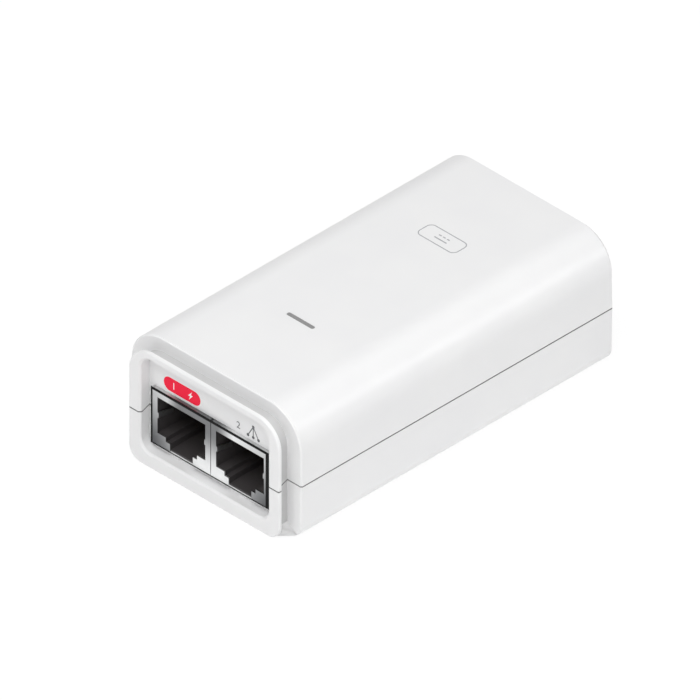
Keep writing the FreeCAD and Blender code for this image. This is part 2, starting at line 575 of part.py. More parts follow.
def port(name, side):
    """One shielded socket: shield, housing, contact carrier, fixed wire runs and sprung wire ends."""
    place = (f"{side}{JACK_SIDE}", "jack_face", "jack_bottom")

    shield = Piece(f"{name}_shield", *place)
    box = rectangle(shield.sketch("XZ", z="jack_height / 2"), "jack_width", "jack_height")
    shield.pad(box, "jack_depth", "+y")
    top = value("jack_height")
    shield.fillet("shield_fold_radius", lambda edge: lies_at(edge, 2, top) and runs_along(edge, 1))
    inside = rectangle(shield.sketch("XY", y="jack_depth / 2"),
                       "jack_width - 2 * shield_sheet", "jack_depth - 2 * shield_sheet")
    shield.pocket(inside, "jack_height - shield_sheet", "+z")
    shield.pocket(mouth(shield.sketch("XZ"), "0", "-jack_bottom / 4"), "2 * shield_sheet", "+y")
    for hand in ("-", ""):
        edge_x = "(mouth_width / 2)"
        tip_x = "(mouth_width / 2 - finger_reach)"
        finger = outline(shield.sketch("XY", z=f"{LEDGE} + mouth_height / 2"), [
            (f"{hand}{edge_x}", "0"), (f"{hand}{edge_x}", "shield_sheet"),
            (f"{hand}({tip_x})", "finger_length"),
            (f"{hand}({tip_x} - shield_sheet)", "finger_length"),
            (f"{hand}({edge_x} - shield_sheet)", "0"),
        ])
        shield.pad(finger, "finger_height", "both")

    housing = Piece(f"{name}_housing", *place)
    block = rectangle(housing.sketch("XZ", y=HOUSING_FRONT, z=f"{HOUSING_TOP} / 2"),
                      "jack_width - 2 * shield_sheet - 2 * housing_clearance", HOUSING_TOP)
    housing.pad(block, f"{HOUSING_BACK} - {HOUSING_FRONT}", "+y")
    housing.pocket(mouth(housing.sketch("XZ", y=HOUSING_FRONT), "mouth_margin", "latch_floor"),
                   f"{COMB_BACK} + housing_clearance - {HOUSING_FRONT}", "+y")
    seat_length = f"({HOUSING_BACK} - carrier_front + housing_clearance)"
    seat = rectangle(housing.sketch("XY", y=f"{HOUSING_BACK} - {seat_length} / 2", z=MOUTH_TOP),
                     "carrier_width + 2 * housing_clearance", seat_length)
    housing.pocket(seat, f"{HOUSING_TOP} - {MOUTH_TOP}", "+z")

    carrier = Piece(f"{name}_contact_carrier", *place)
    ceiling = f"({MOUTH_TOP} + mouth_margin)"
    plate_length = f"({HOUSING_BACK} - carrier_front)"
    plate = rectangle(carrier.sketch("XY", y=f"carrier_front + {plate_length} / 2", z=ceiling),
                      "carrier_width", plate_length)
    carrier.pad(plate, f"{HOUSING_TOP} - {ceiling}", "+z")
    comb = rectangle(carrier.sketch("XY", y="comb_front + comb_depth / 2", z=ceiling),
                     "carrier_width", "comb_depth")
    carrier.pad(comb, "comb_drop", "-z")
    first = "(-(contact_count - 1) / 2 * contact_spacing)"
    slot = carrier.sketch("XZ", x=first, y="carrier_front", z=ceiling)
    rectangle(slot, "slot_width", "2 * groove_depth")
    groove = carrier.pocket(slot, plate_length, "+y")
    carrier.repeat(groove, slot, "H_Axis", "contact_spacing", "contact_count")
    slit = carrier.sketch("XZ", x=first, y="comb_front", z=ceiling)
    rectangle(slit, "slot_width", "2 * (comb_drop - slot_width)")
    slit_cut = carrier.pocket(slit, "comb_depth - wire_thickness", "+y")
    carrier.repeat(slit_cut, slit, "H_Axis", "contact_spacing", "contact_count")

    leads = Piece(f"{name}_contact_leads", *place)
    tail = f"({HOUSING_BACK} + tail_room / 2)"
    run_low = f"({RUN_TOP} - wire_thickness)"
    start = "(bend_front + spring_gap)"
    path = outline(leads.sketch("YZ", x=first), [
        (start, run_low), (start, RUN_TOP), (tail, RUN_TOP), (tail, "0"),
        (f"{tail} - wire_thickness", "0"), (f"{tail} - wire_thickness", run_low),
    ])
    run = leads.pad(path, "wire_width", "both")
    across = leads.sketch("XY")
    circles(across, "wire_width")
    leads.repeat(run, across, "H_Axis", "contact_spacing", "contact_count")

    springs = Piece(f"{name}_contact_springs", *place)
    wire = springs.sketch("YZ", x=first, y="bend_front", z=BEND_HEIGHT)
    bent_wire(wire)
    arm = springs.pad(wire, "wire_width", "both")
    across = springs.sketch("XY")
    circles(across, "wire_width")
    springs.repeat(arm, across, "H_Axis", "contact_spacing", "contact_count")
    return [shield, housing, carrier, leads, springs]


def bent_wire(sketch):
    """The sprung end of a wire: a bend about the sketch's origin and a straight arm that slopes down."""
    radii = ["(bend_radius - wire_thickness / 2)", "(bend_radius + wire_thickness / 2)"]
    drop, reach = "sin(spring_slope * 1 deg)", "cos(spring_slope * 1 deg)"
    ends = [(f"-{radius} * {drop}", f"-{radius} * {reach}") for radius in radii]
    tips = [(f"{across} + spring_length * {reach}", f"{up} - spring_length * {drop}") for across, up in ends]
    end_points = [Vector(value(across), value(up), 0) for across, up in ends]
    tip_points = [Vector(value(across), value(up), 0) for across, up in tips]
    for i, radius in enumerate(radii):
        bend = Part.Arc(Vector(0, value(radius), 0), Vector(-value(radius), 0, 0), end_points[i])
        sketch.addGeometry(bend)
    for start, end in ((end_points[0], tip_points[0]), (tip_points[0], tip_points[1]),
                       (tip_points[1], end_points[1])):
        sketch.addGeometry(Part.LineSegment(start, end))
    sketch.addGeometry(Part.LineSegment(Vector(0, value(radii[1]), 0), Vector(0, value(radii[0]), 0)))
    for first, first_point, second, second_point in ((0, 2, 2, 1), (2, 2, 3, 1), (3, 2, 4, 1), (4, 2, 1, 2),
                                                     (1, 1, 5, 1), (5, 2, 0, 1)):
        join = Sketcher.Constraint("Coincident", first, first_point, second, second_point)
        sketch.addConstraint(join)
    for i, radius in enumerate(radii):
        sketch.addConstraint(Sketcher.Constraint("Coincident", i, 3, -1, 1))
        sketch.addConstraint(Sketcher.Constraint("PointOnObject", i, 1, -2))
        fix(sketch, f"radius{i}", "Radius", i, text=radius)
        fix(sketch, f"end{i}", "DistanceX", -1, 1, i, 2, text=ends[i][0])
    for i, (across, up) in enumerate(tips):
        fix(sketch, f"tip_across{i}", "DistanceX", -1, 1, 2 + i, 2, text=across)
        fix(sketch, f"tip_up{i}", "DistanceY", -1, 1, 2 + i, 2, text=up)


# Light, board and inlet ----------------------------------------------------------------------------


def circuit_board():
    piece = Piece("circuit_board", z=BOARD_UNDER)
    length = f"({BOARD_BACK} - {BOARD_FRONT})"
    board = rectangle(piece.sketch("XY", y=f"{BOARD_FRONT} + {length} / 2"),
                      "body_width - 2 * wall - 2 * board_margin", length)
    piece.pad(board, "board_thickness", "+z")
    holes = circles(piece.sketch("XY"), "peg_radius + peg_clearance", peg_places())
    piece.pocket(holes, "board_thickness", "+z")
    return piece


def led_light_pipe():
    """A clear blade that fills the slot, a flange under the top and a stem down to the lamp."""
    piece = Piece("led_light_pipe", y="light_from_front", z="body_height")
    blade = rounded(piece.sketch("XY"), "slot_length - 2 * pipe_clearance",
                    "slot_breadth - 2 * pipe_clearance", "0.4 * slot_breadth - pipe_clearance")
    piece.pad(blade, "wall + pipe_flange", "-z")
    flange = rectangle(piece.sketch("XY", z="-wall"), "slot_length + 2 * pipe_flange_margin",
                       "slot_breadth + 2 * pipe_flange_margin")
    piece.pad(flange, "pipe_flange", "-z")
    stem = rectangle(piece.sketch("XY", z="-wall - pipe_flange"), "pipe_stem_width", "pipe_stem_depth")
    piece.pad(stem, f"body_height - wall - pipe_flange - {BOARD_TOP} - led_height - led_gap", "-z")
    return piece


def mains_inlet():
    """A three-pin appliance inlet: a block with a hollow of three lobes, open to the back."""
    piece = Piece("mains_inlet", y=INLET_FACE, z=BOARD_TOP)
    block = rounded(piece.sketch("XZ", z="inlet_height / 2"), "inlet_width", "inlet_height",
                    "inlet_corner_radius")
    piece.pad(block, "inlet_depth", "-y")
    upper = rounded(piece.sketch("XZ", z="inlet_pin_height"),
                    "2 * (inlet_pin_spread + inlet_lobe_radius)", "2 * inlet_lobe_radius",
                    "0.98 * inlet_lobe_radius")
    piece.pocket(upper, "inlet_hollow_depth", "-y")
    lower = rounded(piece.sketch("XZ", z="inlet_pin_height - inlet_pin_drop / 2"),
                    "2 * inlet_lobe_radius", "2 * inlet_lobe_radius + inlet_pin_drop",
                    "0.98 * inlet_lobe_radius")
    piece.pocket(lower, "inlet_hollow_depth", "-y")
    tails = squares(piece.sketch("XZ"), "inlet_tail_width", pin_places())
    piece.pocket(tails, "inlet_depth", "-y")
    return piece


def pin_places():
    """Live, neutral and earth."""
    earth = ("0", "inlet_pin_height - inlet_pin_drop")
    return [("-inlet_pin_spread", "inlet_pin_height"), ("inlet_pin_spread", "inlet_pin_height"), earth]


def inlet_pins():
    """Three round pins, each with a square tail through the block and down to the board."""
    piece = Piece("inlet_pins", y=INLET_FACE, z=BOARD_TOP)
    rods = circles(piece.sketch("XZ", y="-inlet_pin_recess"), "inlet_pin_radius", pin_places())
    piece.pad(rods, "inlet_hollow_depth - inlet_pin_recess", "-y")
    through = squares(piece.sketch("XZ", y="-inlet_hollow_depth"), "inlet_tail_width", pin_places())
    piece.pad(through, "inlet_depth - inlet_hollow_depth + inlet_tail_length", "-y")
    for across, up in pin_places():
        tail = rectangle(piece.sketch("XZ", x=across, y="-inlet_depth - inlet_tail_length",
                                      z=f"({up}) / 2"), "inlet_tail_width", up)
        piece.pad(tail, "inlet_tail_width", "+y")
    return piece


# Parts on the board --------------------------------------------------------------------------------


def block(label, x, y, size, edge=None):
    """A plain moulded part that stands on the board, its edges bevelled where a size is given."""
    piece = Piece(label, x, y, BOARD_TOP)
    width, depth, height = size
    piece.pad(rectangle(piece.sketch("XY"), width, depth), height, "+z")
    if edge:
        piece.chamfer(edge, lambda item: lies_at(item, 2, value(height)) or runs_along(item, 2))
    return piece


def can(label, x, y, radius, height):
    """A round part that stands on the board, its upper edge bevelled."""
    piece = Piece(label, x, y, BOARD_TOP)
    piece.pad(circles(piece.sketch("XY"), radius), height, "+z")
    piece.chamfer("can_edge", lambda item: lies_at(item, 2, value(height)))
    return piece


def leads_under(piece, places, width, rise):
    """Square leads from the board up to a part that stands off it."""
    for across, along in places:
        lead = rectangle(piece.sketch("XY", x=across, y=along), width, width)
        piece.pad(lead, rise, "+z")


def disc(label, x, y, radius, thickness, plane):
    """A coated disc that stands on edge on two leads."""
    piece = Piece(label, x, y, BOARD_TOP)
    face = circles(piece.sketch(plane, z=f"disc_lift + {radius}"), radius)
    piece.pad(face, thickness, "both")
    spread = f"({radius} / 2)"
    places = [("0", f"-{spread}"), ("0", spread)]
    if plane == "XZ":
        places = [(along, across) for across, along in places]
    leads_under(piece, places, "lead_width", f"disc_lift + {radius}")
    return piece


def transformer():
    """Two E-shaped core halves, the bobbin whose spool they close through, and its taped winding."""
    base = ("-core_side", CORE_ROW, f"{BOARD_TOP} + bobbin_base")
    window = "((core_width - 2 * core_leg - core_centre_leg) / 2)"
    window_height = "(core_height - 2 * core_leg)"
    core = Piece("transformer_core", *base)
    frame = rectangle(core.sketch("XZ", z="core_height / 2"), "core_width", "core_height")
    core.pad(frame, "core_depth", "both")
    for side in ("-", ""):
        opening = core.sketch("XZ", x=f"{side}(core_centre_leg / 2 + {window} / 2)", z="core_height / 2")
        rectangle(opening, window, window_height)
        core.pocket(opening, "2 * core_depth", "both")

    bobbin = Piece("transformer_bobbin", *base)
    spool = "(core_centre_leg + 2 * bobbin_clearance)"
    depth = "(core_depth + 2 * bobbin_clearance)"
    low, high = "(core_leg + bobbin_clearance)", "(core_height - core_leg - bobbin_clearance)"
    reach = "(bobbin_flange - core_depth) / 2 - bobbin_clearance"
    for level in (low, f"({high} - bobbin_wall)"):
        flange = rectangle(bobbin.sketch("XY", z=level), "bobbin_flange", "bobbin_flange")
        bobbin.pad(flange, "bobbin_wall", "+z")
    tube = rectangle(bobbin.sketch("XY", z=low), f"{spool} + 2 * bobbin_wall", f"{depth} + 2 * bobbin_wall")
    bobbin.pad(tube, f"{high} - {low}", "+z")
    hollow = rectangle(bobbin.sketch("XY", z=low), spool, depth)
    bobbin.pocket(hollow, f"{high} - {low}", "+z")
    foot = rectangle(bobbin.sketch("XY", z="-bobbin_base"), "bobbin_flange", "bobbin_flange")
    bobbin.pad(foot, "bobbin_base - bobbin_clearance", "+z")
    for side in ("-", ""):
        cheek = bobbin.sketch("XY", y=f"{side}({depth} / 2 + ({reach}) / 2)", z="-bobbin_clearance")
        rectangle(cheek, "core_centre_leg", reach)
        bobbin.pad(cheek, f"{low} + bobbin_clearance", "+z")

    winding = Piece("transformer_winding", *base)
    spool_low, spool_high = f"({low} + bobbin_wall)", f"({high} - bobbin_wall)"
    coil = rounded(winding.sketch("XY", z=f"{spool_low} + bobbin_clearance"), "winding_width",
                   "winding_width", "winding_radius")
    winding.pad(coil, f"{spool_high} - {spool_low} - 2 * bobbin_clearance", "+z")
    inside = rectangle(winding.sketch("XY", z=spool_low),
                       f"{spool} + 2 * bobbin_wall + 2 * bobbin_clearance",
                       f"{depth} + 2 * bobbin_wall + 2 * bobbin_clearance")
    winding.pocket(inside, f"{spool_high} - {spool_low}", "+z")
    return [core, bobbin, winding]


def choke():
    """A ring core that stands on edge, with one winding round each side of it."""
    radius, section = "choke_ring_radius", "choke_ring_section"
    place = (f"{BOARD_EDGE} - edge_gap - {CHOKE_REACH}", BULK_ROW, f"{BOARD_TOP} + {radius} + {section} / 2")
    core = Piece("choke_core", *place)
    ring = rectangle(core.sketch("XY", x=radius), section, section)
    core.revolve(ring, "Y_Axis")
    windings = Piece("choke_windings", *place)
    for side in ("-", ""):
        sleeve = windings.sketch("XY")
        for width in ("choke_winding_section", f"({section} + 2 * choke_clearance)"):
            squares(sleeve, width, [(f"{side}{radius}", "0")])
        windings.revolve(sleeve, "Y_Axis", CHOKE_WINDING_TURN)
    return [core, windings]


def power_switch():
    """A folded heat sink, the transistor that is screwed to its back and the screw."""
    sink = Piece("heat_sink", "0", SINK_ROW, BOARD_TOP)
    profile = outline(sink.sketch("YZ"), [
        ("0", "0"), ("sink_sheet", "0"), ("sink_sheet", "sink_height"),
        ("sink_sheet - sink_fold", "sink_height"),
        ("sink_sheet - sink_fold", "sink_height - sink_sheet"), ("0", "sink_height - sink_sheet"),
    ])
    sink.pad(profile, "sink_width", "both")
    screw_height = "(transistor_lift + transistor_height + transistor_tab / 2)"
    hole = circles(sink.sketch("XZ", z=screw_height), "screw_radius + screw_clearance")
    sink.pocket(hole, "sink_sheet", "+y")

    transistor = Piece("switching_transistor", "0", SINK_BACK, BOARD_TOP)
    tab = transistor.sketch("XZ", z="transistor_lift + (transistor_height + transistor_tab) / 2")
    rectangle(tab, "transistor_width", "transistor_height + transistor_tab")
    transistor.pad(tab, "transistor_tab_sheet", "+y")
    body = transistor.sketch("XZ", y="transistor_tab_sheet", z="transistor_lift + transistor_height / 2")
    rectangle(body, "transistor_width", "transistor_height")
    transistor.pad(body, "transistor_depth", "+y")
    hole = circles(transistor.sketch("XZ", z=screw_height), "screw_radius + screw_clearance")
    transistor.pocket(hole, "transistor_tab_sheet", "+y")
    lead_y = "(transistor_tab_sheet + transistor_depth / 2)"
    places = [("-transistor_width / 4", lead_y), ("0", lead_y), ("transistor_width / 4", lead_y)]
    leads_under(transistor, places, "lead_width", "transistor_lift")

    screw = Piece("transistor_screw", "0", f"{SINK_BACK} + transistor_tab_sheet",
                  f"{BOARD_TOP} + {screw_height}")
    shank = circles(screw.sketch("XZ"), "screw_radius")
    screw.pad(shank, "transistor_tab_sheet + sink_sheet + part_gap / 2", "-y")
    head = circles(screw.sketch("XZ"), "screw_head_radius")
    screw.pad(head, "screw_head_height", "+y")
    return [sink, transistor, screw]


def rectifier():
    """A flat moulded bridge with a cut corner, on four leads in a row."""
    piece = Piece("bridge_rectifier", f"{BOARD_EDGE} - edge_gap - rectifier_width / 2",
                  f"{INLET_BACK} + rectifier_depth / 2", BOARD_TOP)
    half = "(rectifier_depth / 2)"
    face = outline(piece.sketch("YZ"), [
        (f"-{half}", "disc_lift"), (half, "disc_lift"), (half, "rectifier_height"),
        (f"-{half} + rectifier_width", "rectifier_height"),
        (f"-{half}", "rectifier_height - rectifier_width"),
    ])
    piece.pad(face, "rectifier_width", "both")
    places = [("0", f"({step}) * rectifier_depth / 4") for step in ("-1.5", "-0.5", "0.5", "1.5")]
    leads_under(piece, places, "lead_width", "disc_lift")
    return piece


pieces = [
    top_cover(), bottom_case(), circuit_board(), led_light_pipe(),
    block("status_led", "0", "light_from_front", ("led_width", "led_depth", "led_height")),
    *port("poe_port", "-"), *port("lan_port", ""),
    mains_inlet(), inlet_pins(), *transformer(), *power_switch(), *choke(), rectifier(),
    can("output_capacitor_left", f"-({BOARD_EDGE} - output_can_inset)", "light_from_front",
        "output_can_radius", "output_can_height"),
    can("output_capacitor_right", f"{BOARD_EDGE} - output_can_inset", "light_from_front",
        "output_can_radius", "output_can_height"),
    can("bulk_capacitor", f"-({BOARD_EDGE} - edge_gap - bulk_can_radius)", BULK_ROW,
        "bulk_can_radius", "bulk_can_height"),
    can("fuse", f"-({SIDE_PARTS} + fuse_radius)", f"{INLET_BACK} + fuse_radius",
        "fuse_radius", "fuse_height"),
    block("x_capacitor", "0", BULK_ROW, ("xcap_width", "xcap_depth", "xcap_height"), "can_edge"),
    disc("varistor", f"{SIDE_PARTS} + disc_thickness / 2", f"{INLET_BACK} + disc_radius",
         "disc_radius", "disc_thickness", "YZ"),
    disc("y_capacitor", f"{BOARD_EDGE} - edge_gap - 2 * ycap_radius",
         f"{SINK_ROW} - part_gap - ycap_thickness", "ycap_radius", "ycap_thickness", "XZ"),
    block("output_diode", f"{BOARD_EDGE} - edge_gap - diode_width / 2", f"{BEHIND_CANS} + diode_depth / 2",
          ("diode_width", "diode_depth", "diode_height")),
    block("optocoupler", f"{BOARD_EDGE} - edge_gap - diode_width - part_gap / 2 - opto_width / 2",
          f"{BEHIND_CANS} + opto_depth / 2", ("opto_width", "opto_depth", "opto_height")),
]
document.recompute()

for item in document.Objects:
    if "Invalid" in item.State or "Error" in item.State:
        raise RuntimeError(f"{item.Name} failed: {item.State}")
    if item.TypeId == "PartDesign::Pocket" and item.Shape.Volume > item.BaseFeature.Shape.Volume - 1e-6:
        raise RuntimeError(f"{item.Name} cuts nothing")
for piece in pieces:
    shape = piece.body.Shape
    if shape.isNull() or not shape.isValid():
        raise RuntimeError(f"{piece.body.Label} has no valid shape")

os.makedirs("parts", exist_ok=True)
for piece in pieces:
    piece.body.Shape.exportStep(f"parts/{piece.body.Label}.step")
    print(f"{piece.body.Label}: {len(piece.body.Shape.Solids)} solid, {piece.body.Shape.Volume:.1f} mm3")
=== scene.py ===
"""The looks of a two-port PoE injector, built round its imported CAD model.

Metres, in the CAD's own frame: X runs across the case, Y from the sockets to the mains inlet, Z up.
"""

import logging
import math
from dataclasses import dataclass
from enum import Enum
from functools import reduce
from typing import Optional, Sequence, Union

import bmesh
import bpy
from mathutils import Matrix, Vector


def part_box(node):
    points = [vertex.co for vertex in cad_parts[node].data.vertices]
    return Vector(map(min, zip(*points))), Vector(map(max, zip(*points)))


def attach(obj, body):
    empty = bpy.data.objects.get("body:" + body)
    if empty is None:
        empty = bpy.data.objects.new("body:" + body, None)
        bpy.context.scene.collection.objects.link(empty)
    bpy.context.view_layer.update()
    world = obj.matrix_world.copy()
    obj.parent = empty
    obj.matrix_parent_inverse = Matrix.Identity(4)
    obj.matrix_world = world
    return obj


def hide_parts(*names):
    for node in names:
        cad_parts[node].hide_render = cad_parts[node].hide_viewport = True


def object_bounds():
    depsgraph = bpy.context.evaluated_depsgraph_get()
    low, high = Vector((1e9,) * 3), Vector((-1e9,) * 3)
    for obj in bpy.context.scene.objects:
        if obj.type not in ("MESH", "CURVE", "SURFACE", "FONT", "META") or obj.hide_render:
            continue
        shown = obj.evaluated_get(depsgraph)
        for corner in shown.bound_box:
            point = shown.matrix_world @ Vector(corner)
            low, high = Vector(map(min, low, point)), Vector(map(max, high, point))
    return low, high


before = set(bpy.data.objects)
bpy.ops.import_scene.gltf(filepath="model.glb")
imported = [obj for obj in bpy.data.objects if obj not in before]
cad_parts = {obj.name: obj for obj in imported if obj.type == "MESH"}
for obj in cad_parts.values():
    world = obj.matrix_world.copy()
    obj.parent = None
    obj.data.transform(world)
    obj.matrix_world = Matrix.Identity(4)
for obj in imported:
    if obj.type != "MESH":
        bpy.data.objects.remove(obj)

Tree = bpy.types.NodeTree
Node = bpy.types.Node
Socket = bpy.types.NodeSocket
Source = Union[Socket, Node]
Mesh = bpy.types.Mesh
Point = tuple[float, float]
Triple = tuple[float, float, float]
Box = tuple[float, float, float, float]

MM = 0.001
# The faces of the shields stand this far out of the socket panel
SOCKET_STAND = 0.75 * MM
# A wave texture runs this much faster than its scale says
WAVE_RATE = 20.0
# Nearly all of a cloud pattern lies between these values, and this is how ragged its clouds are
CLOUD_SPAN, CLOUD_RAGGED = (0.3, 0.7), 0.55
# Corners nearer than this are one: in meshes made here, and in the loose triangles of a CAD node
MERGE, CAD_MERGE = 1e-7, 1e-6
CAD_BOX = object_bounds()
NODES: dict[str, bpy.types.Object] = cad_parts
log = logging.getLogger("poe_injector")


# Nodes ---------------------------------------------------------------------------------------------


def linear(colour: str) -> tuple[float, float, float, float]:
    """Turn an sRGB hex colour into the linear one that the shaders take.

    Args:
        colour: Six hex digits after a hash.

    Returns:
        Red, green, blue and an alpha of 1.
    """
    parts = [int(colour[i:i + 2], 16) / 255 for i in (1, 3, 5)]
    red, green, blue = [p / 12.92 if p <= 0.04045 else ((p + 0.055) / 1.055) ** 2.4 for p in parts]
    return red, green, blue, 1.0


def add(tree: Tree, kind: str, links: Optional[dict] = None, into: Optional[Socket] = None,
        **settings: object) -> Node:
    """Add one node with its settings, what goes into it and where it goes.

    Args:
        tree: The node tree.
        kind: The node's type, such as "ShaderNodeTexNoise".
        links: What each input takes, by the input's name or number: a value, another node's output, or a
            node for its first output.
        into: The input that the new node's first output goes to.
        settings: The node's own properties.

    Returns:
        The new node.
    """
    node = tree.nodes.new(kind)
    for name, setting in settings.items():
        setattr(node, name, setting)
    for name, source in (links or {}).items():
        if isinstance(source, Node):
            source = source.outputs[0]
        if isinstance(source, Socket):
            tree.links.new(source, node.inputs[name])
        else:
            node.inputs[name].default_value = source
    if into:
        tree.links.new(node.outputs[0], into)
    return node


def empty_tree(owner: Union[bpy.types.Material, bpy.types.World]) -> Tree:
    """Give a material or a world an empty node tree.

    Args:
        owner: The material or the world.

    Returns:
        Its tree.
    """
    owner.use_nodes = True
    owner.node_tree.nodes.clear()
    return owner.node_tree


def put(name: str, data: bpy.types.ID) -> bpy.types.Object:
    """Put a mesh, a curve, a light or a camera into the scene, at the origin.

    Args:
        name: The object's name.
        data: What it shows.

    Returns:
        The object.
    """
    made = bpy.data.objects.new(name, data)
    bpy.context.scene.collection.objects.link(made)
    return made


def taken(holder: bpy.types.Object) -> bmesh.types.BMesh:
    """Take an object's shape as its modifiers make it, and remove the object.

    Args:
        holder: The object, which stands at the origin.

    Returns:
        The shape as plain geometry.
    """
    graph = bpy.context.evaluated_depsgraph_get()
    mesh = bpy.data.meshes.new_from_object(holder.evaluated_get(graph), depsgraph=graph)
    bpy.data.objects.remove(holder)
    made = bmesh.new()
    made.from_mesh(mesh)
    bpy.data.meshes.remove(mesh)
    return made


def per_metre(size_mm: float) -> float:
    """The texture scale of a pattern that repeats about every size_mm millimetres."""
    return 1.0 / (size_mm * MM)


# Finishes ------------------------------------------------------------------------------------------
# The grain, roll lines, rings, grit and weave of the real finishes are a few hundredths of a millimetre
# wide. They are drawn several times wider, as coarse as they need to be to show.


@dataclass
class Surface:
    """A material in the making: where a finish lays its pattern."""

    tree: Tree
    shader: Node
    place: Socket
    finish: "Finish"

    def clouds(self, size_mm: float, fineness: float = 2.0, place: Optional[Source] = None) -> Node:
        """Even clouds about size_mm wide, from 0 to 1, on the piece or on a stretched copy of its place."""
        return add(self.tree, "ShaderNodeTexNoise", {"Vector": place or self.place, "Detail": fineness,
                                                     "Scale": per_metre(size_mm), "Roughness": CLOUD_RAGGED})

    def vary(self, mask: Source) -> None:
        """Let the roughness wander by the finish's gloss_spread to each side of its own."""
        own, spread = self.finish.roughness, self.finish.gloss_spread
        add(self.tree, "ShaderNodeMapRange", {
            "Value": mask, "From Min": CLOUD_SPAN[0], "From Max": CLOUD_SPAN[1],
            "To Min": own - spread, "To Max": own + spread,
        }, self.shader.inputs["Roughness"])

    def tint(self, mask: Source, other: str, edges: Point = (0.0, 1.0)) -> Node:
        """Let the colour go to another one where a mask passes between two edges.

        Args:
            mask: The pattern, from 0 to 1.
            other: The other colour, as sRGB hex.
            edges: The mask's values at which the change starts and ends.

        Returns:
            The change, from 0 to 1.
        """
        change = add(self.tree, "ShaderNodeMapRange", {"Value": mask, "From Min": edges[0],
                                                       "From Max": edges[1]})
        base = self.shader.inputs["Base Color"]
        start = base.links[0].from_socket if base.is_linked else linear(self.finish.colour)
        mix = add(self.tree, "ShaderNodeMix", {0: change, 6: start, 7: linear(other)}, data_type="RGBA")
        self.tree.links.new(mix.outputs[2], base)
        return change

    def bump(self, height: Source, depth_mm: float) -> None:
        """Raise the surface by a pattern, over what raises it already.

        Args:
            height: The pattern, from 0 to 1.
            depth_mm: How far its highest places lie over its lowest ones.
        """
        normal = self.shader.inputs["Normal"]
        links = {"Height": height, "Distance": depth_mm * MM}
        if normal.is_linked:
            links["Normal"] = normal.links[0].from_socket
        add(self.tree, "ShaderNodeBump", links, normal)


@dataclass(frozen=True)
class Finish:
    """A finish: the material's common name, its colour and how it takes the light."""

    name: str
    colour: str
    roughness: float
    metallic: float = 0.0
    ior: float = 1.5
    coat: float = 0.0
    gloss_spread: float = 0.04

    def material(self) -> bpy.types.Material:
        """Build the material, or take it if it is there already.

        Returns:
            The material, named for the finish.
        """
        made = bpy.data.materials.get(self.name)
        if made:
            return made
        made = bpy.data.materials.new(self.name)
        tree = empty_tree(made)
        shader = add(tree, "ShaderNodeBsdfPrincipled", {
            "Base Color": linear(self.colour), "Roughness": self.roughness, "Metallic": self.metallic,
            "IOR": self.ior, "Coat Weight": self.coat,
        })
        self.detail(Surface(tree, shader, add(tree, "ShaderNodeTexCoord").outputs["Object"], self))
        add(tree, "ShaderNodeOutputMaterial", {"Surface": shader})
        return made

    def detail(self, on: Surface) -> None:
        """Lay the finish's pattern on a surface."""
        raise NotImplementedError


@dataclass(frozen=True)
class MouldedPlastic(Finish):
    """Injection moulded plastic: the mould's spark-eroded grain, and slow waves where it shrank."""

    grain_mm: float = 0.5
    grain_depth_mm: float = 0.004
    wave_mm: float = 22.0
    wave_depth_mm: float = 0.03
    shade: str = "#000000"
    shade_edges: Point = (0.2, 0.8)
    shade_mm: float = 14.0
    gloss_mm: float = 6.0
    gloss_spread: float = 0.03

    def detail(self, on: Surface) -> None:
        """Grain in the bump, and faint cloudiness in the colour and the gloss.

        Args:
            on: The surface that it is laid on.
        """
        on.vary(on.clouds(self.gloss_mm))
        on.tint(on.clouds(self.shade_mm), self.shade, self.shade_edges)
        on.bump(on.clouds(self.wave_mm, 0.0), self.wave_depth_mm)
        on.bump(on.clouds(self.grain_mm, 3.0), self.grain_depth_mm)


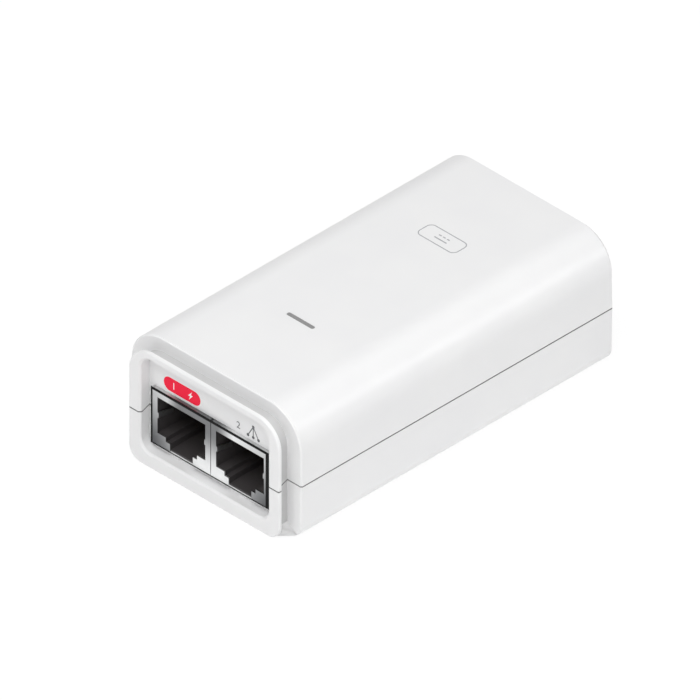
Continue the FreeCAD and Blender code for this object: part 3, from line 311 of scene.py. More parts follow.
@dataclass(frozen=True)
class ShellPlastic(MouldedPlastic):
    """The moulded plastic of the shells, with painted shade in the groove behind the lip, lighter painted
    shade where the groove closes at its lower ends, and a painted shadow line along the seam.
    """

    # Painted shade in the groove behind the lip: its colour, and the groove's limits across, up, on the
    # diagonal and along
    groove: str = "#C6C6C6"
    groove_side_mm: float = 18.2
    groove_top_mm: float = 25.62
    groove_corner_mm: float = 41.75
    groove_mm: Point = (-44.195, -41.62)
    # Lighter painted shade where the groove closes at its lower ends, below this height
    foot: str = "#DADADA"
    foot_mm: float = 2.95
    # A painted shadow line along both edges of the seam, which climbs from the bezel to the body, and its
    # width
    seam: str = "#8A8A8A"
    seam_mm: Point = (11.9, 12.9)
    seam_width_mm: float = 0.3

    def where(self, on: Surface, tests: Sequence[tuple[Source, str, float]], operation: str) -> Node:
        """Make the mask of a region from lengths that are compared with limits.

        Args:
            on: The surface that it is for.
            tests: Each length, how it is compared, and its limit in millimetres.
            operation: MAXIMUM where one passed test is enough, MULTIPLY where all have to pass.

        Returns:
            1 in the region and 0 outside it.
        """
        masks = [add(on.tree, "ShaderNodeMath", {0: length, 1: limit * MM}, operation=test)
                 for length, test, limit in tests]
        return reduce(lambda one, other: add(on.tree, "ShaderNodeMath", {0: one, 1: other},
                                             operation=operation), masks)

    def detail(self, on: Surface) -> None:
        """The plastic's own pattern, then painted shade in the groove and at its closed lower ends, and a
        painted shadow line along the seam's edges.

        Args:
            on: The surface that it is laid on.
        """
        super().detail(on)
        parts = add(on.tree, "ShaderNodeSeparateXYZ", {"Vector": on.place})
        along, up = parts.outputs["Y"], parts.outputs["Z"]
        front, back = self.groove_mm
        aside = add(on.tree, "ShaderNodeMath", {0: parts.outputs["X"]}, operation="ABSOLUTE")
        diagonal = add(on.tree, "ShaderNodeMath", {0: aside, 1: up}, operation="ADD")
        outer = self.where(on, [(aside, "GREATER_THAN", self.groove_side_mm),
                                (up, "GREATER_THAN", self.groove_top_mm),
                                (diagonal, "GREATER_THAN", self.groove_corner_mm)], "MAXIMUM")
        behind = self.where(on, [(along, "GREATER_THAN", front), (along, "LESS_THAN", back)], "MULTIPLY")
        groove = add(on.tree, "ShaderNodeMath", {0: outer, 1: behind}, operation="MULTIPLY")
        low = add(on.tree, "ShaderNodeMath", {0: up, 1: self.foot_mm * MM}, operation="LESS_THAN")
        foot = add(on.tree, "ShaderNodeMath", {0: groove, 1: low}, operation="MULTIPLY")
        level = add(on.tree, "ShaderNodeMapRange", {
            "Value": along, "From Min": front * MM, "From Max": back * MM,
            "To Min": self.seam_mm[0] * MM, "To Max": self.seam_mm[1] * MM,
        })
        over = add(on.tree, "ShaderNodeMath", {0: up, 1: level}, operation="SUBTRACT")
        distance = add(on.tree, "ShaderNodeMath", {0: over}, operation="ABSOLUTE")
        edge = add(on.tree, "ShaderNodeMath", {0: distance, 1: self.seam_width_mm / 2 * MM},
                   operation="LESS_THAN")
        # Paint the shade of the groove and of its lower ends, then the shadow line along the seam
        for mask, colour in ((groove, self.groove), (foot, self.foot), (edge, self.seam)):
            on.tint(mask, colour)


@dataclass(frozen=True)
class RolledSheet(Finish):
    """Rolled or plated sheet metal: fine lines along the roll, and dull patches in the plating."""

    lines: Triple = (1.0, 1.0, 0.04)
    line_mm: float = 0.12
    line_depth_mm: float = 0.0015
    patch: str = "#8A8C90"
    patch_edges: Point = (0.25, 0.85)
    patch_mm: float = 3.5
    gloss_spread: float = 0.07

    def rolled(self, on: Surface) -> None:
        """Roll lines in the bump and the gloss, long on the axes where lines is small.

        Args:
            on: The surface that they are laid on.
        """
        drawn = add(on.tree, "ShaderNodeMapping", {"Vector": on.place, "Scale": self.lines})
        lines = on.clouds(self.line_mm, 4.0, drawn)
        on.vary(lines)
        on.bump(lines, self.line_depth_mm)

    def detail(self, on: Surface) -> None:
        """The roll lines, and patches in the colour.

        Args:
            on: The surface that it is laid on.
        """
        self.rolled(on)
        on.tint(on.clouds(self.patch_mm), self.patch, self.patch_edges)


@dataclass(frozen=True)
class TinnedStrip(RolledSheet):
    """Tinned strip, drawn over a punch, with painted darker reflection towards the outer lower corners and
    in a spot over the mouths.
    """

    line_depth_mm: float = 0.0008
    # The colour of the painted darker reflection
    patch: str = "#636466"
    gloss_spread: float = 0.04
    outward_mm: Point = (1.6, 16.0)
    upward_mm: Point = (4.8, 18.0)
    upper_share: float = 0.4
    # A spot of painted darker reflection over the mouths: its middle across, its reach, its rise and how far
    # it darkens
    smudge_mm: float = -3.5
    smudge_reach_mm: Point = (5.0, 11.0)
    smudge_rise_mm: Point = (5.0, 15.0)
    smudge_share: float = 0.9

    def detail(self, on: Surface) -> None:
        """The roll lines, and painted darker reflection by place: the outer lower corners, and a spot over
        the mouths.

        Args:
            on: The surface that it is laid on.
        """
        self.rolled(on)
        parts = add(on.tree, "ShaderNodeSeparateXYZ", {"Vector": on.place})
        across, up = parts.outputs["X"], parts.outputs["Z"]
        offset = add(on.tree, "ShaderNodeMath", {0: across, 1: self.smudge_mm * MM}, operation="SUBTRACT")
        aside, near = [add(on.tree, "ShaderNodeMath", {0: length}, operation="ABSOLUTE")
                       for length in (across, offset)]
        outward, upward, reach, rise = [add(on.tree, "ShaderNodeMapRange", {
            "Value": length, "From Min": start * MM, "From Max": end * MM, "To Min": first, "To Max": last,
        }, interpolation_type="SMOOTHSTEP") for length, (start, end), (first, last) in (
            (aside, self.outward_mm, (0.0, 1.0)), (up, self.upward_mm, (1.0, self.upper_share)),
            (near, self.smudge_reach_mm, (self.smudge_share, 0.0)), (up, self.smudge_rise_mm, (0.0, 1.0)),
        )]
        corner, dim_reflection = [add(on.tree, "ShaderNodeMath", {0: one, 1: other}, operation="MULTIPLY")
                          for one, other in ((outward, upward), (reach, rise))]
        mask = add(on.tree, "ShaderNodeMath", {0: corner, 1: dim_reflection}, operation="MAXIMUM")
        # Paint the darker reflection where the mask is high
        on.tint(mask, self.patch)


@dataclass(frozen=True)
class DrawnWire(Finish):
    """Drawn and plated wire or turned pins: faint rings, and tarnish between them."""

    tarnish: str = "#A07C32"
    tarnish_edges: Point = (0.4, 0.9)
    tarnish_mm: float = 1.6
    ring_mm: float = 0.3
    ring_waver: float = 1.5
    ring_depth_mm: float = 0.002
    gloss_spread: float = 0.06

    def detail(self, on: Surface) -> None:
        """Rings along Y in the bump, and tarnish in clouds.

        Args:
            on: The surface that it is laid on.
        """
        rings = add(on.tree, "ShaderNodeTexWave", {
            "Vector": on.place, "Scale": per_metre(self.ring_mm) / WAVE_RATE, "Distortion": self.ring_waver,
        }, bands_direction="Y")
        on.bump(rings.outputs["Fac"], self.ring_depth_mm)
        clouds = on.clouds(self.tarnish_mm, 3.0)
        on.tint(clouds, self.tarnish, self.tarnish_edges)
        on.vary(clouds)


@dataclass(frozen=True)
class Sintered(Finish):
    """Pressed and fired powder: a dense, dull, slightly pitted body."""

    speck: str = "#4A4A50"
    speck_edges: Point = (0.5, 0.9)
    grit_mm: float = 0.25
    pit_mm: float = 0.01
    gloss_mm: float = 2.0
    gloss_spread: float = 0.05

    def detail(self, on: Surface) -> None:
        """Pits in the bump and paler grains in the colour.

        Args:
            on: The surface that it is laid on.
        """
        grains = add(on.tree, "ShaderNodeTexVoronoi", {"Vector": on.place, "Scale": per_metre(self.grit_mm)})
        on.tint(grains, self.speck, self.speck_edges)
        on.bump(grains, self.pit_mm)
        on.vary(on.clouds(self.gloss_mm))


@dataclass(frozen=True)
class Coated(Finish):
    """Dipped, sleeved or wrapped in a glossy skin, with bands or sags where it set."""

    band: str = "#000000"
    band_mm: float = 3.0
    band_edges: Point = (0.75, 1.0)
    band_waver: float = 0.6
    band_depth_mm: float = 0.02
    sag_mm: float = 2.5
    sag_depth_mm: float = 0.02
    gloss_mm: float = 1.2

    def detail(self, on: Surface) -> None:
        """Bands up the piece in the colour and the bump, and long soft sags.

        Args:
            on: The surface that it is laid on.
        """
        bands = add(on.tree, "ShaderNodeTexWave", {
            "Vector": on.place, "Scale": per_metre(self.band_mm) / WAVE_RATE, "Distortion": self.band_waver,
            "Detail": 2.0,
        }, bands_direction="Z").outputs["Fac"]
        on.tint(bands, self.band, self.band_edges)
        on.bump(bands, self.band_depth_mm)
        on.bump(on.clouds(self.sag_mm), self.sag_depth_mm)
        on.vary(on.clouds(self.gloss_mm))


@dataclass(frozen=True)
class SolderResist(Finish):
    """Lacquer over copper tracks on glass fibre: raised paler tracks and a faint weave."""

    track: str = "#2F7D4A"
    track_edges: Point = (0.36, 0.4)
    track_spread: float = 0.85
    track_mm: float = 2.4
    track_depth_mm: float = 0.035
    weave_mm: float = 0.4
    weave_depth_mm: float = 0.003
    gloss_mm: float = 5.0
    gloss_spread: float = 0.05

    def detail(self, on: Surface) -> None:
        """Square-cornered tracks in the colour and the bump, over a fine weave.

        Args:
            on: The surface that it is laid on.
        """
        cells = add(on.tree, "ShaderNodeTexVoronoi", {
            "Vector": on.place, "Scale": per_metre(self.track_mm), "Randomness": self.track_spread,
        }, distance="CHEBYCHEV", feature="F1", voronoi_dimensions="2D")
        tracks = on.tint(cells, self.track, self.track_edges)
        on.bump(tracks, self.track_depth_mm)
        weave = add(on.tree, "ShaderNodeTexChecker", {"Vector": on.place, "Scale": per_metre(self.weave_mm)})
        on.bump(weave.outputs["Fac"], self.weave_depth_mm)
        on.vary(on.clouds(self.gloss_mm))


@dataclass(frozen=True)
class ClearLens(Finish):
    """Smoked polycarbonate with the streaks of its moulding, lit from below when the lamp is on."""

    depth: float = 0.1
    streaks: Triple = (0.2, 1.0, 1.0)
    streak_mm: float = 0.8
    streak_depth_mm: float = 0.004

    def detail(self, on: Surface) -> None:
        """Flow streaks across the blade, and light that passes partly through it.

        Args:
            on: The surface that it is laid on.
        """
        drawn = add(on.tree, "ShaderNodeMapping", {"Vector": on.place, "Scale": self.streaks})
        flow = on.clouds(self.streak_mm, place=drawn)
        on.vary(flow)
        on.bump(flow, self.streak_depth_mm)
        on.shader.inputs["Transmission Weight"].default_value = self.depth


@dataclass(frozen=True)
class PadPrint(Finish):
    """Ink laid on by a soft pad: thin, matt, a little uneven where it met the grain."""

    thin: str = "#FFFFFF"
    thin_edges: Point = (0.55, 1.1)
    pinhole_mm: float = 0.35
    grain_mm: float = 0.5
    grain_depth_mm: float = 0.003
    gloss_mm: float = 1.5

    def detail(self, on: Surface) -> None:
        """Pinholes in the colour and grain in the bump.

        Args:
            on: The surface that it is laid on.
        """
        on.tint(on.clouds(self.pinhole_mm, 3.0), self.thin, self.thin_edges)
        on.bump(on.clouds(self.grain_mm, 3.0), self.grain_depth_mm)
        on.vary(on.clouds(self.gloss_mm))


# ABS, moulded against a fine spark-eroded steel: satin, slightly soft highlights, a cool white, with painted
# shade in the groove and a painted shadow line along the seam
WHITE_ABS = ShellPlastic("white_moulded_abs", "#EFEFEF", 0.34, ior=1.54, grain_mm=0.45,
                         grain_depth_mm=0.0022, shade="#EBEBEC")
# The same plastic without the painted groove shade and seam shadow, for the seal round the sockets, where no
# groove or seam passes
PLAIN_ABS = MouldedPlastic("plain_white_moulded_abs", "#EFEFEF", 0.34, ior=1.54, grain_mm=0.45,
                           grain_depth_mm=0.0022, shade="#EBEBEC")
# Glass-filled nylon of the socket bodies: near black, its fibres make it dull
BLACK_NYLON = MouldedPlastic("black_moulded_nylon", "#3A3738", 0.5, ior=1.53, grain_mm=0.3,
                             grain_depth_mm=0.004, shade="#413E3F")
# Phenolic of the mains inlet: black and a little glossier, pressed against polished steel
BLACK_PHENOLIC = MouldedPlastic("black_phenolic", "#161617", 0.3, ior=1.6, grain_mm=0.9,
                                grain_depth_mm=0.003, shade="#1E1E1F")
# Polyester of the bobbin: dark brown-black, matt
BOBBIN_POLYESTER = MouldedPlastic("bobbin_polyester", "#211D1B", 0.5, ior=1.57, grain_mm=0.6,
                                  grain_depth_mm=0.004, shade="#2A2522")
# Moulded epoxy of transistors, diodes and bridges: charcoal with laser-dulled faces
MOULDED_EPOXY = MouldedPlastic("moulded_epoxy", "#1C1D1E", 0.55, ior=1.55, grain_mm=0.2,
                               grain_depth_mm=0.006, shade="#26272A")
# Film capacitor's box: yellow polypropylene, smooth
YELLOW_BOX = MouldedPlastic("yellow_polypropylene", "#D9A919", 0.32, ior=1.49, grain_mm=0.8,
                            grain_depth_mm=0.003, shade="#CC9C12")
# Fuse body: black polyamide sleeve
FUSE_BODY = MouldedPlastic("fuse_polyamide", "#202124", 0.38, ior=1.53, grain_mm=0.4,
                           grain_depth_mm=0.003, shade="#292A2E")
# Tinned steel strip of the shields: bright between the mouths, with painted darker reflection towards the
# outer lower corners and over the mouths
TINNED_STEEL = TinnedStrip("tinned_steel", "#F0F1F1", 0.34, metallic=1.0)
# A black frame on the face of the shields, painted shadow in the gap round them: black and dull
SHADOW_GAP_BLACK = MouldedPlastic("black_painted_shadow_gap", "#080808", 0.8, ior=1.3, grain_mm=0.25,
                               grain_depth_mm=0.004, shade="#0D0D0D")
# Extruded aluminium of the heat sink: silver-grey, drawn lines across it
ALUMINIUM = RolledSheet("mill_aluminium", "#C6C8CA", 0.38, metallic=1.0, lines=(0.03, 1.0, 1.0),
                        patch="#A9ACB0")
# Zinc-plated screw: slightly yellow grey
ZINC_STEEL = RolledSheet("zinc_plated_steel", "#BFBDB4", 0.32, metallic=1.0, lines=(1.0, 0.2, 1.0),
                         patch="#9C998C")
# Nickel on brass for the inlet's pins
NICKEL = DrawnWire("nickel_plated_brass", "#C9C5BB", 0.22, metallic=1.0, tarnish="#A8A292")
# Gold over nickel on phosphor bronze for the contact wires
GOLD = DrawnWire("gold_plated_bronze", "#D8B35A", 0.24, metallic=1.0, tarnish="#A9822F")
# Enamelled copper: reddish metal under a clear varnish
ENAMELLED_COPPER = DrawnWire("enamelled_copper", "#B4602C", 0.28, metallic=1.0, coat=0.6,
                             tarnish="#8A4418", ring_mm=0.6)
# Solder: soft grey metal, smooth where it flowed
SOLDER = DrawnWire("tin_solder", "#B9BBBD", 0.26, metallic=1.0, tarnish="#96999C", ring_mm=0.5)
# Manganese-zinc ferrite: fired, nearly black, dull
FERRITE = Sintered("fired_ferrite", "#2A2A2D", 0.62, ior=1.9)
# Polyester tape round the winding: amber, glossy, laps showing as bands
POLYESTER_TAPE = Coated("polyester_tape", "#D8A51E", 0.25, ior=1.6, band="#B8860F", band_mm=2.2)
# Shrink sleeve of the electrolytic cans: dark blue vinyl, glossy
SHRINK_SLEEVE = Coated("vinyl_shrink_sleeve", "#1E2746", 0.24, ior=1.53, band="#26315A", band_mm=9.0)
# Dipped epoxy of the discs: blue lacquer with sags
DIPPED_EPOXY = Coated("dipped_epoxy", "#1F5EA8", 0.28, ior=1.55, band="#1A5094", band_mm=7.0,
                      sag_depth_mm=0.06)
# Lacquered glass-fibre board: green, with paler copper under the lacquer
BOARD_LACQUER = SolderResist("solder_resist_on_glass_fibre", "#1C5A35", 0.3, ior=1.52)
# Smoked polycarbonate of the light bar: grey, satin, hardly clear while the lamp is off
LENS = ClearLens("smoked_polycarbonate", "#8C8C8C", 0.32, ior=1.58)
# The lamp's cast epoxy: clear and glossy
LAMP_EPOXY = ClearLens("clear_lamp_epoxy", "#ECECE4", 0.15, ior=1.54, depth=0.6)
# Pad printing inks: matt, a little thin over the grain
RED_INK = PadPrint("red_pad_print", "#FA0F3C", 0.6, ior=1.35, thin="#F82248")
WHITE_INK = PadPrint("white_pad_print", "#FDFDFD", 0.4, thin="#F4F4F4")
GREY_INK = PadPrint("grey_pad_print", "#A4A5A8", 0.45, thin="#B4B5B8")
DARK_INK = PadPrint("dark_grey_pad_print", "#5E5F62", 0.45, thin="#6C6D70")


class Slot(Enum):
    """Names of the record's material slots. No piece here takes its finish from them."""

    COPPER = "copper"
    PIN = "pin_metal"
    CASE = "white_case"
    BLACK = "black_plastic"
    BLUE = "epoxy_blue"
    SCREW = "screw_steel"
    SLEEVE = "can_sleeve"


# Meshes --------------------------------------------------------------------------------------------


class Side(Enum):
    """The flat faces that carry a print: which way they look."""

    FRONT = "front"
    TOP = "top"

    def place(self, across: float, up: float, out: float) -> Vector:
        """A point of the print, in metres, from its place on the face and its height over it."""
        if self is Side.FRONT:
            return Vector((across, -out, up))
        return Vector((across, up, out))


def closed_mesh(name: str, made: bmesh.types.BMesh, smooth_degrees: float = 30.0) -> Mesh:
    """Merge, turn outwards and shade a bmesh.

    Args:
        name: The mesh's name.
        made: The geometry, which is freed.
        smooth_degrees: Edges sharper than this stay sharp.

    Returns:
        The finished mesh.
    """
    bmesh.ops.remove_doubles(made, verts=made.verts, dist=MERGE)
    bmesh.ops.recalc_face_normals(made, faces=made.faces)
    mesh = bpy.data.meshes.new(name)
    made.to_mesh(mesh)
    made.free()
    mesh.shade_smooth()
    mesh.set_sharp_from_angle(angle=math.radians(smooth_degrees))
    return mesh


def show(mesh: Mesh, finish: Finish,
         replaced: Sequence[str] = ()) -> bpy.types.Object:
    """Show a mesh as a piece of the object.

    Args:
        mesh: The piece's mesh, which gives it its name and place.
        finish: What it is made of.
        replaced: The CAD nodes that it stands for.

    Returns:
        The piece, riding on the case's body.
    """
    piece = put(mesh.name, mesh)
    mesh.materials.clear()
    mesh.materials.append(finish.material())
    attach(piece, "root")
    if replaced:
        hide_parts(*replaced)
    log.info("piece %s: %d faces, %s", piece.name, len(mesh.polygons), finish.name)
    return piece


def dress(nodes: Sequence[str], finish: Finish) -> None:
    """Give CAD nodes their finish in place of the plain one that they came with.

    Args:
        nodes: The nodes' names.
        finish: What they are made of.
    """
    for node in nodes:
        data = NODES[node].data
        data.materials.clear()
        data.materials.append(finish.material())
        log.info("node %s: %s", node, finish.name)


def slab(made: bmesh.types.BMesh, side: Side, outline: Sequence[Point], low: float, high: float) -> None:
    """Add a flat shape of even thickness to a bmesh.

    Args:
        made: The bmesh.
        side: The face that it lies on.
        outline: Its corners in order, in metres.
        low: Where its underside lies, out from the frame's origin.
        high: Where its face lies.
    """
    rings = [[made.verts.new(side.place(u, v, out)) for u, v in outline] for out in (low, high)]
    count = len(outline)
    made.faces.new(rings[0])
    made.faces.new(rings[1])
    for i in range(count):
        j = (i + 1) % count
        made.faces.new((rings[0][i], rings[0][j], rings[1][j], rings[1][i]))


def printed(name: str, side: Side, outlines: Sequence[Sequence[Point]], low: float, ink: float,
            finish: Finish) -> None:
    """Print flat shapes as one piece.

    Args:
        name: The piece's name.
        side: The face that they lie on.
        outlines: The corners of each shape, in metres.
        low: Where their underside lies, out from the frame's origin.
        ink: How thick they are.
        finish: The ink.
    """
    made = bmesh.new()
    for outline in outlines:
        slab(made, side, outline, low, low + ink)
    show(closed_mesh(name, made), finish)


def disc_outline(centre: Point, radius: float, steps: int = 20) -> list[Point]:
    """The corners of a round dot.

    Args:
        centre: Its middle.
        radius: Its radius, in metres.
        steps: How many corners it has.

    Returns:
        The corners in order.
    """
    turns = [2 * math.pi * i / steps for i in range(steps)]
    return [(centre[0] + radius * math.cos(t), centre[1] + radius * math.sin(t)) for t in turns]


def bar_outline(start: Point, end: Point, width: float) -> list[Point]:
    """The corners of a straight bar.

    Args:
        start: The middle of one end.
        end: The middle of the other end.
        width: How wide it is, in metres.

    Returns:
        The corners in order.
    """
    run = Vector(end) - Vector(start)
    aside = Vector((-run.y, run.x)).normalized() * width / 2
    corners = [Vector(start) + aside, Vector(start) - aside, Vector(end) - aside, Vector(end) + aside]
    return [tuple(corner) for corner in corners]


def numeral_mesh(name: str, digit: int, height: float, side: Side, middle: Point, low: float,
                 thickness: float) -> Mesh:
    """A plain printed numeral as a thin closed mesh.

    Args:
        name: The mesh's name.
        digit: The number.
        height: The height of the digit, in metres.
        side: The face that it lies on.
        middle: Its middle on that face.
        low: Where its underside lies, out from the frame's origin.
        thickness: How thick it is.

    Returns:
        The mesh, in place.
    """
    curve = bpy.data.curves.new(name, "FONT")
    curve.body = str(digit)
    curve.extrude = thickness / 2
    curve.resolution_u = 4
    made = taken(put(name, curve))
    lows = [min(v.co[i] for v in made.verts) for i in range(2)]
    highs = [max(v.co[i] for v in made.verts) for i in range(2)]
    scale = height / (highs[1] - lows[1])
    for vert in made.verts:
        across = middle[0] + (vert.co.x - (lows[0] + highs[0]) / 2) * scale
        up = middle[1] + (vert.co.y - (lows[1] + highs[1]) / 2) * scale
        vert.co = side.place(across, up, low + thickness / 2 + vert.co.z)
    return closed_mesh(name, made)


def softened_mesh(name: str, node: str, width_mm: float, steps: int = 3, flat_degrees: float = 1.0,
                  sharp_degrees: float = 40.0) -> Mesh:
    """A copy of a CAD node with its sharp edges rounded.

    Args:
        name: The new mesh's name.
        node: The CAD node.
        width_mm: How far the rounding reaches from each edge.
        steps: How many faces make the rounding.
        flat_degrees: Faces that turn by less than this are one face.
        sharp_degrees: Edges that turn by more than this are rounded.

    Returns:
        The rounded mesh.
    """
    made = bmesh.new()
    made.from_mesh(NODES[node].data)
    bmesh.ops.remove_doubles(made, verts=made.verts, dist=CAD_MERGE)
    bmesh.ops.dissolve_limit(made, angle_limit=math.radians(flat_degrees), verts=made.verts,
                             edges=made.edges)
    sharp = [edge for edge in made.edges
             if edge.is_manifold and edge.calc_face_angle(0.0) > math.radians(sharp_degrees)]
    bmesh.ops.bevel(made, geom=sharp, offset=width_mm * MM, segments=steps, profile=0.5,
                    affect="EDGES", clamp_overlap=True)
    bmesh.ops.triangulate(made, faces=[face for face in made.faces if len(face.verts) > 4])
    return closed_mesh(name, made, smooth_degrees=35.0)


def turned_mesh(name: str, profile: Sequence[Point], middle: Point, level: float,
                steps: int = 48) -> Mesh:
    """A shape turned about an upright axis.

    Args:
        name: The mesh's name.
        profile: Radius and height of each ring from the foot to the top, in metres.
        middle: The axis, in X and Y.
        level: The height of the foot.
        steps: How many faces go round.

    Returns:
        The mesh, closed at both ends.
    """
    made = bmesh.new()
    rings = []
    for radius, height in profile:
        turns = [2 * math.pi * i / steps for i in range(steps)]
        rings.append([made.verts.new((middle[0] + radius * math.cos(t), middle[1] + radius * math.sin(t),
                                      level + height)) for t in turns])
    for low, high in zip(rings, rings[1:]):
        for i in range(steps):
            j = (i + 1) % steps
            made.faces.new((low[i], low[j], high[j], high[i]))
    made.faces.new(rings[0])
    made.faces.new(rings[-1])
    return closed_mesh(name, made)


# Geometry Nodes ------------------------------------------------------------------------------------


def node_tree(name: str, sizes: dict[str, type]) -> tuple[Tree, Node]:
    """Start a Geometry Nodes tree with named inputs.

    Args:
        name: The tree's name.
        sizes: Each input's name and whether it is a float or an int.

    Returns:
        The tree and its group input node.
    """
    tree = bpy.data.node_groups.new(name, "GeometryNodeTree")
    kinds = {float: "NodeSocketFloat", int: "NodeSocketInt"}
    tree.interface.new_socket("Geometry", in_out="INPUT", socket_type="NodeSocketGeometry")
    for size, kind in sizes.items():
        tree.interface.new_socket(size, in_out="INPUT", socket_type=kinds[kind])
    tree.interface.new_socket("Geometry", in_out="OUTPUT", socket_type="NodeSocketGeometry")
    return tree, add(tree, "NodeGroupInput")


def end_tree(tree: Tree, shape: Node, finish: Finish) -> Tree:
    """End a tree in Realize Instances and Set Material.

    Args:
        tree: The Geometry Nodes tree.
        shape: What it has made.
        finish: What that is made of.

    Returns:
        The finished tree.
    """
    real = add(tree, "GeometryNodeRealizeInstances", {"Geometry": shape})
    dressed = add(tree, "GeometryNodeSetMaterial", {"Geometry": real, "Material": finish.material()})
    add(tree, "NodeGroupOutput", {"Geometry": dressed})
    return tree


def grown_mesh(name: str, tree: Tree, sizes: dict[str, float | int],
               places: Sequence[Vector] = (Vector(),), turn: Matrix = Matrix.Identity(4)) -> Mesh:
    """Run a tree on points and keep the result as a plain mesh.

    Args:
        name: The mesh's name.
        tree: The Geometry Nodes tree.
        sizes: What each of its named inputs is set to.
        places: The points that it starts from.
        turn: How the finished shape is turned and moved into place.

    Returns:
        The mesh, in place.
    """
    points = bpy.data.meshes.new(f"{name}_points")
    points.from_pydata([tuple(place) for place in places], [], [])
    holder = put(name, points)
    modifier = holder.modifiers.new(name, "NODES")
    modifier.node_group = tree
    for item in tree.interface.items_tree:
        if item.item_type == "SOCKET" and item.in_out == "INPUT" and item.name in sizes:
            modifier[item.identifier] = sizes[item.name]
    made = taken(holder)
    made.transform(turn)
    return closed_mesh(name, made, smooth_degrees=40.0)


def frame_line_tree() -> Tree:
    """A thin raised line along a rectangle with round corners, lying in X and Y.

    Returns:
        The tree.
    """
    tree, given = node_tree("frame_line", {"Width": float, "Height": float, "Corner": float,
                                           "Line": float, "Thickness": float})
    size = given.outputs
    box = add(tree, "GeometryNodeCurvePrimitiveQuadrilateral",
              {"Width": size["Width"], "Height": size["Height"]})
    path = add(tree, "GeometryNodeFilletCurve", {"Curve": box, "Radius": size["Corner"], "Count": 8},
               mode="POLY")
    profile = add(tree, "GeometryNodeCurvePrimitiveQuadrilateral",
                  {"Width": size["Line"], "Height": size["Thickness"]})
    line = add(tree, "GeometryNodeCurveToMesh", {"Curve": path, "Profile Curve": profile})
    return end_tree(tree, line, GREY_INK)


def dash_tree() -> Tree:
    """A row of short flat bars along X, about the origin.

    Returns:
        The tree.
    """
    tree, given = node_tree("dash_row", {"Count": int, "Pitch": float, "Dash": float, "Line": float,
                                         "Thickness": float})
    size = given.outputs
    last = add(tree, "ShaderNodeMath", {0: size["Count"], 1: 1.0}, operation="SUBTRACT")
    span = add(tree, "ShaderNodeMath", {0: last, 1: size["Pitch"]}, operation="MULTIPLY")
    start = add(tree, "ShaderNodeMath", {0: span, 1: -0.5}, operation="MULTIPLY")
    first, step = [add(tree, "ShaderNodeCombineXYZ", {"X": x}) for x in (start, size["Pitch"])]
    row = add(tree, "GeometryNodeMeshLine", {
        "Count": size["Count"], "Start Location": first, "Offset": step,
    })
    block = add(tree, "ShaderNodeCombineXYZ", {"X": size["Dash"], "Y": size["Line"], "Z": size["Thickness"]})
    dash = add(tree, "GeometryNodeMeshCube", {"Size": block})
    return end_tree(tree, add(tree, "GeometryNodeInstanceOnPoints", {"Points": row, "Instance": dash}),
                    GREY_INK)


def winding_tree() -> Tree:
    """Turns of wire round a square ring section, spread over part of the ring, in X and Y.

    Returns:
        The tree.
    """
    tree, given = node_tree("wire_turns", {"Turns": int, "Ring": float, "Start": float, "Sweep": float,
                                           "Loop": float, "Corner": float, "Wire": float})
    size = given.outputs
    arc = add(tree, "GeometryNodeCurveArc", {
        "Resolution": 48, "Radius": size["Ring"], "Start Angle": size["Start"], "Sweep Angle": size["Sweep"],
    })
    spots = add(tree, "GeometryNodeCurveToPoints", {"Curve": arc, "Count": size["Turns"]}, mode="COUNT")
    box = add(tree, "GeometryNodeCurvePrimitiveQuadrilateral",
              {"Width": size["Loop"], "Height": size["Loop"]})
    loop = add(tree, "GeometryNodeFilletCurve", {"Curve": box, "Radius": size["Corner"], "Count": 4},
               mode="POLY")
    round_wire = add(tree, "GeometryNodeCurvePrimitiveCircle", {"Resolution": 8, "Radius": size["Wire"]})
    turn = add(tree, "GeometryNodeCurveToMesh", {"Curve": loop, "Profile Curve": round_wire})
    return end_tree(tree, add(tree, "GeometryNodeInstanceOnPoints", {
        "Points": spots, "Instance": turn, "Rotation": spots.outputs["Rotation"],
    }), ENAMELLED_COPPER)


def solder_tree() -> Tree:
    """A cone of solder with a cut-off lead in it at every point, hanging down.

    Returns:
        The tree.
    """
    tree, given = node_tree("solder_joints", {"Radius": float, "Height": float, "Lead": float})
    size = given.outputs
    cone = add(tree, "GeometryNodeMeshCone", {
        "Vertices": 16, "Radius Top": size["Lead"], "Radius Bottom": size["Radius"], "Depth": size["Height"],
    })
    down = add(tree, "GeometryNodeTransform", {"Geometry": cone, "Rotation": (math.pi, 0.0, 0.0)})
    return end_tree(tree, add(tree, "GeometryNodeInstanceOnPoints",
                              {"Points": size["Geometry"], "Instance": down}), SOLDER)


# Sub-assemblies ------------------------------------------------------------------------------------


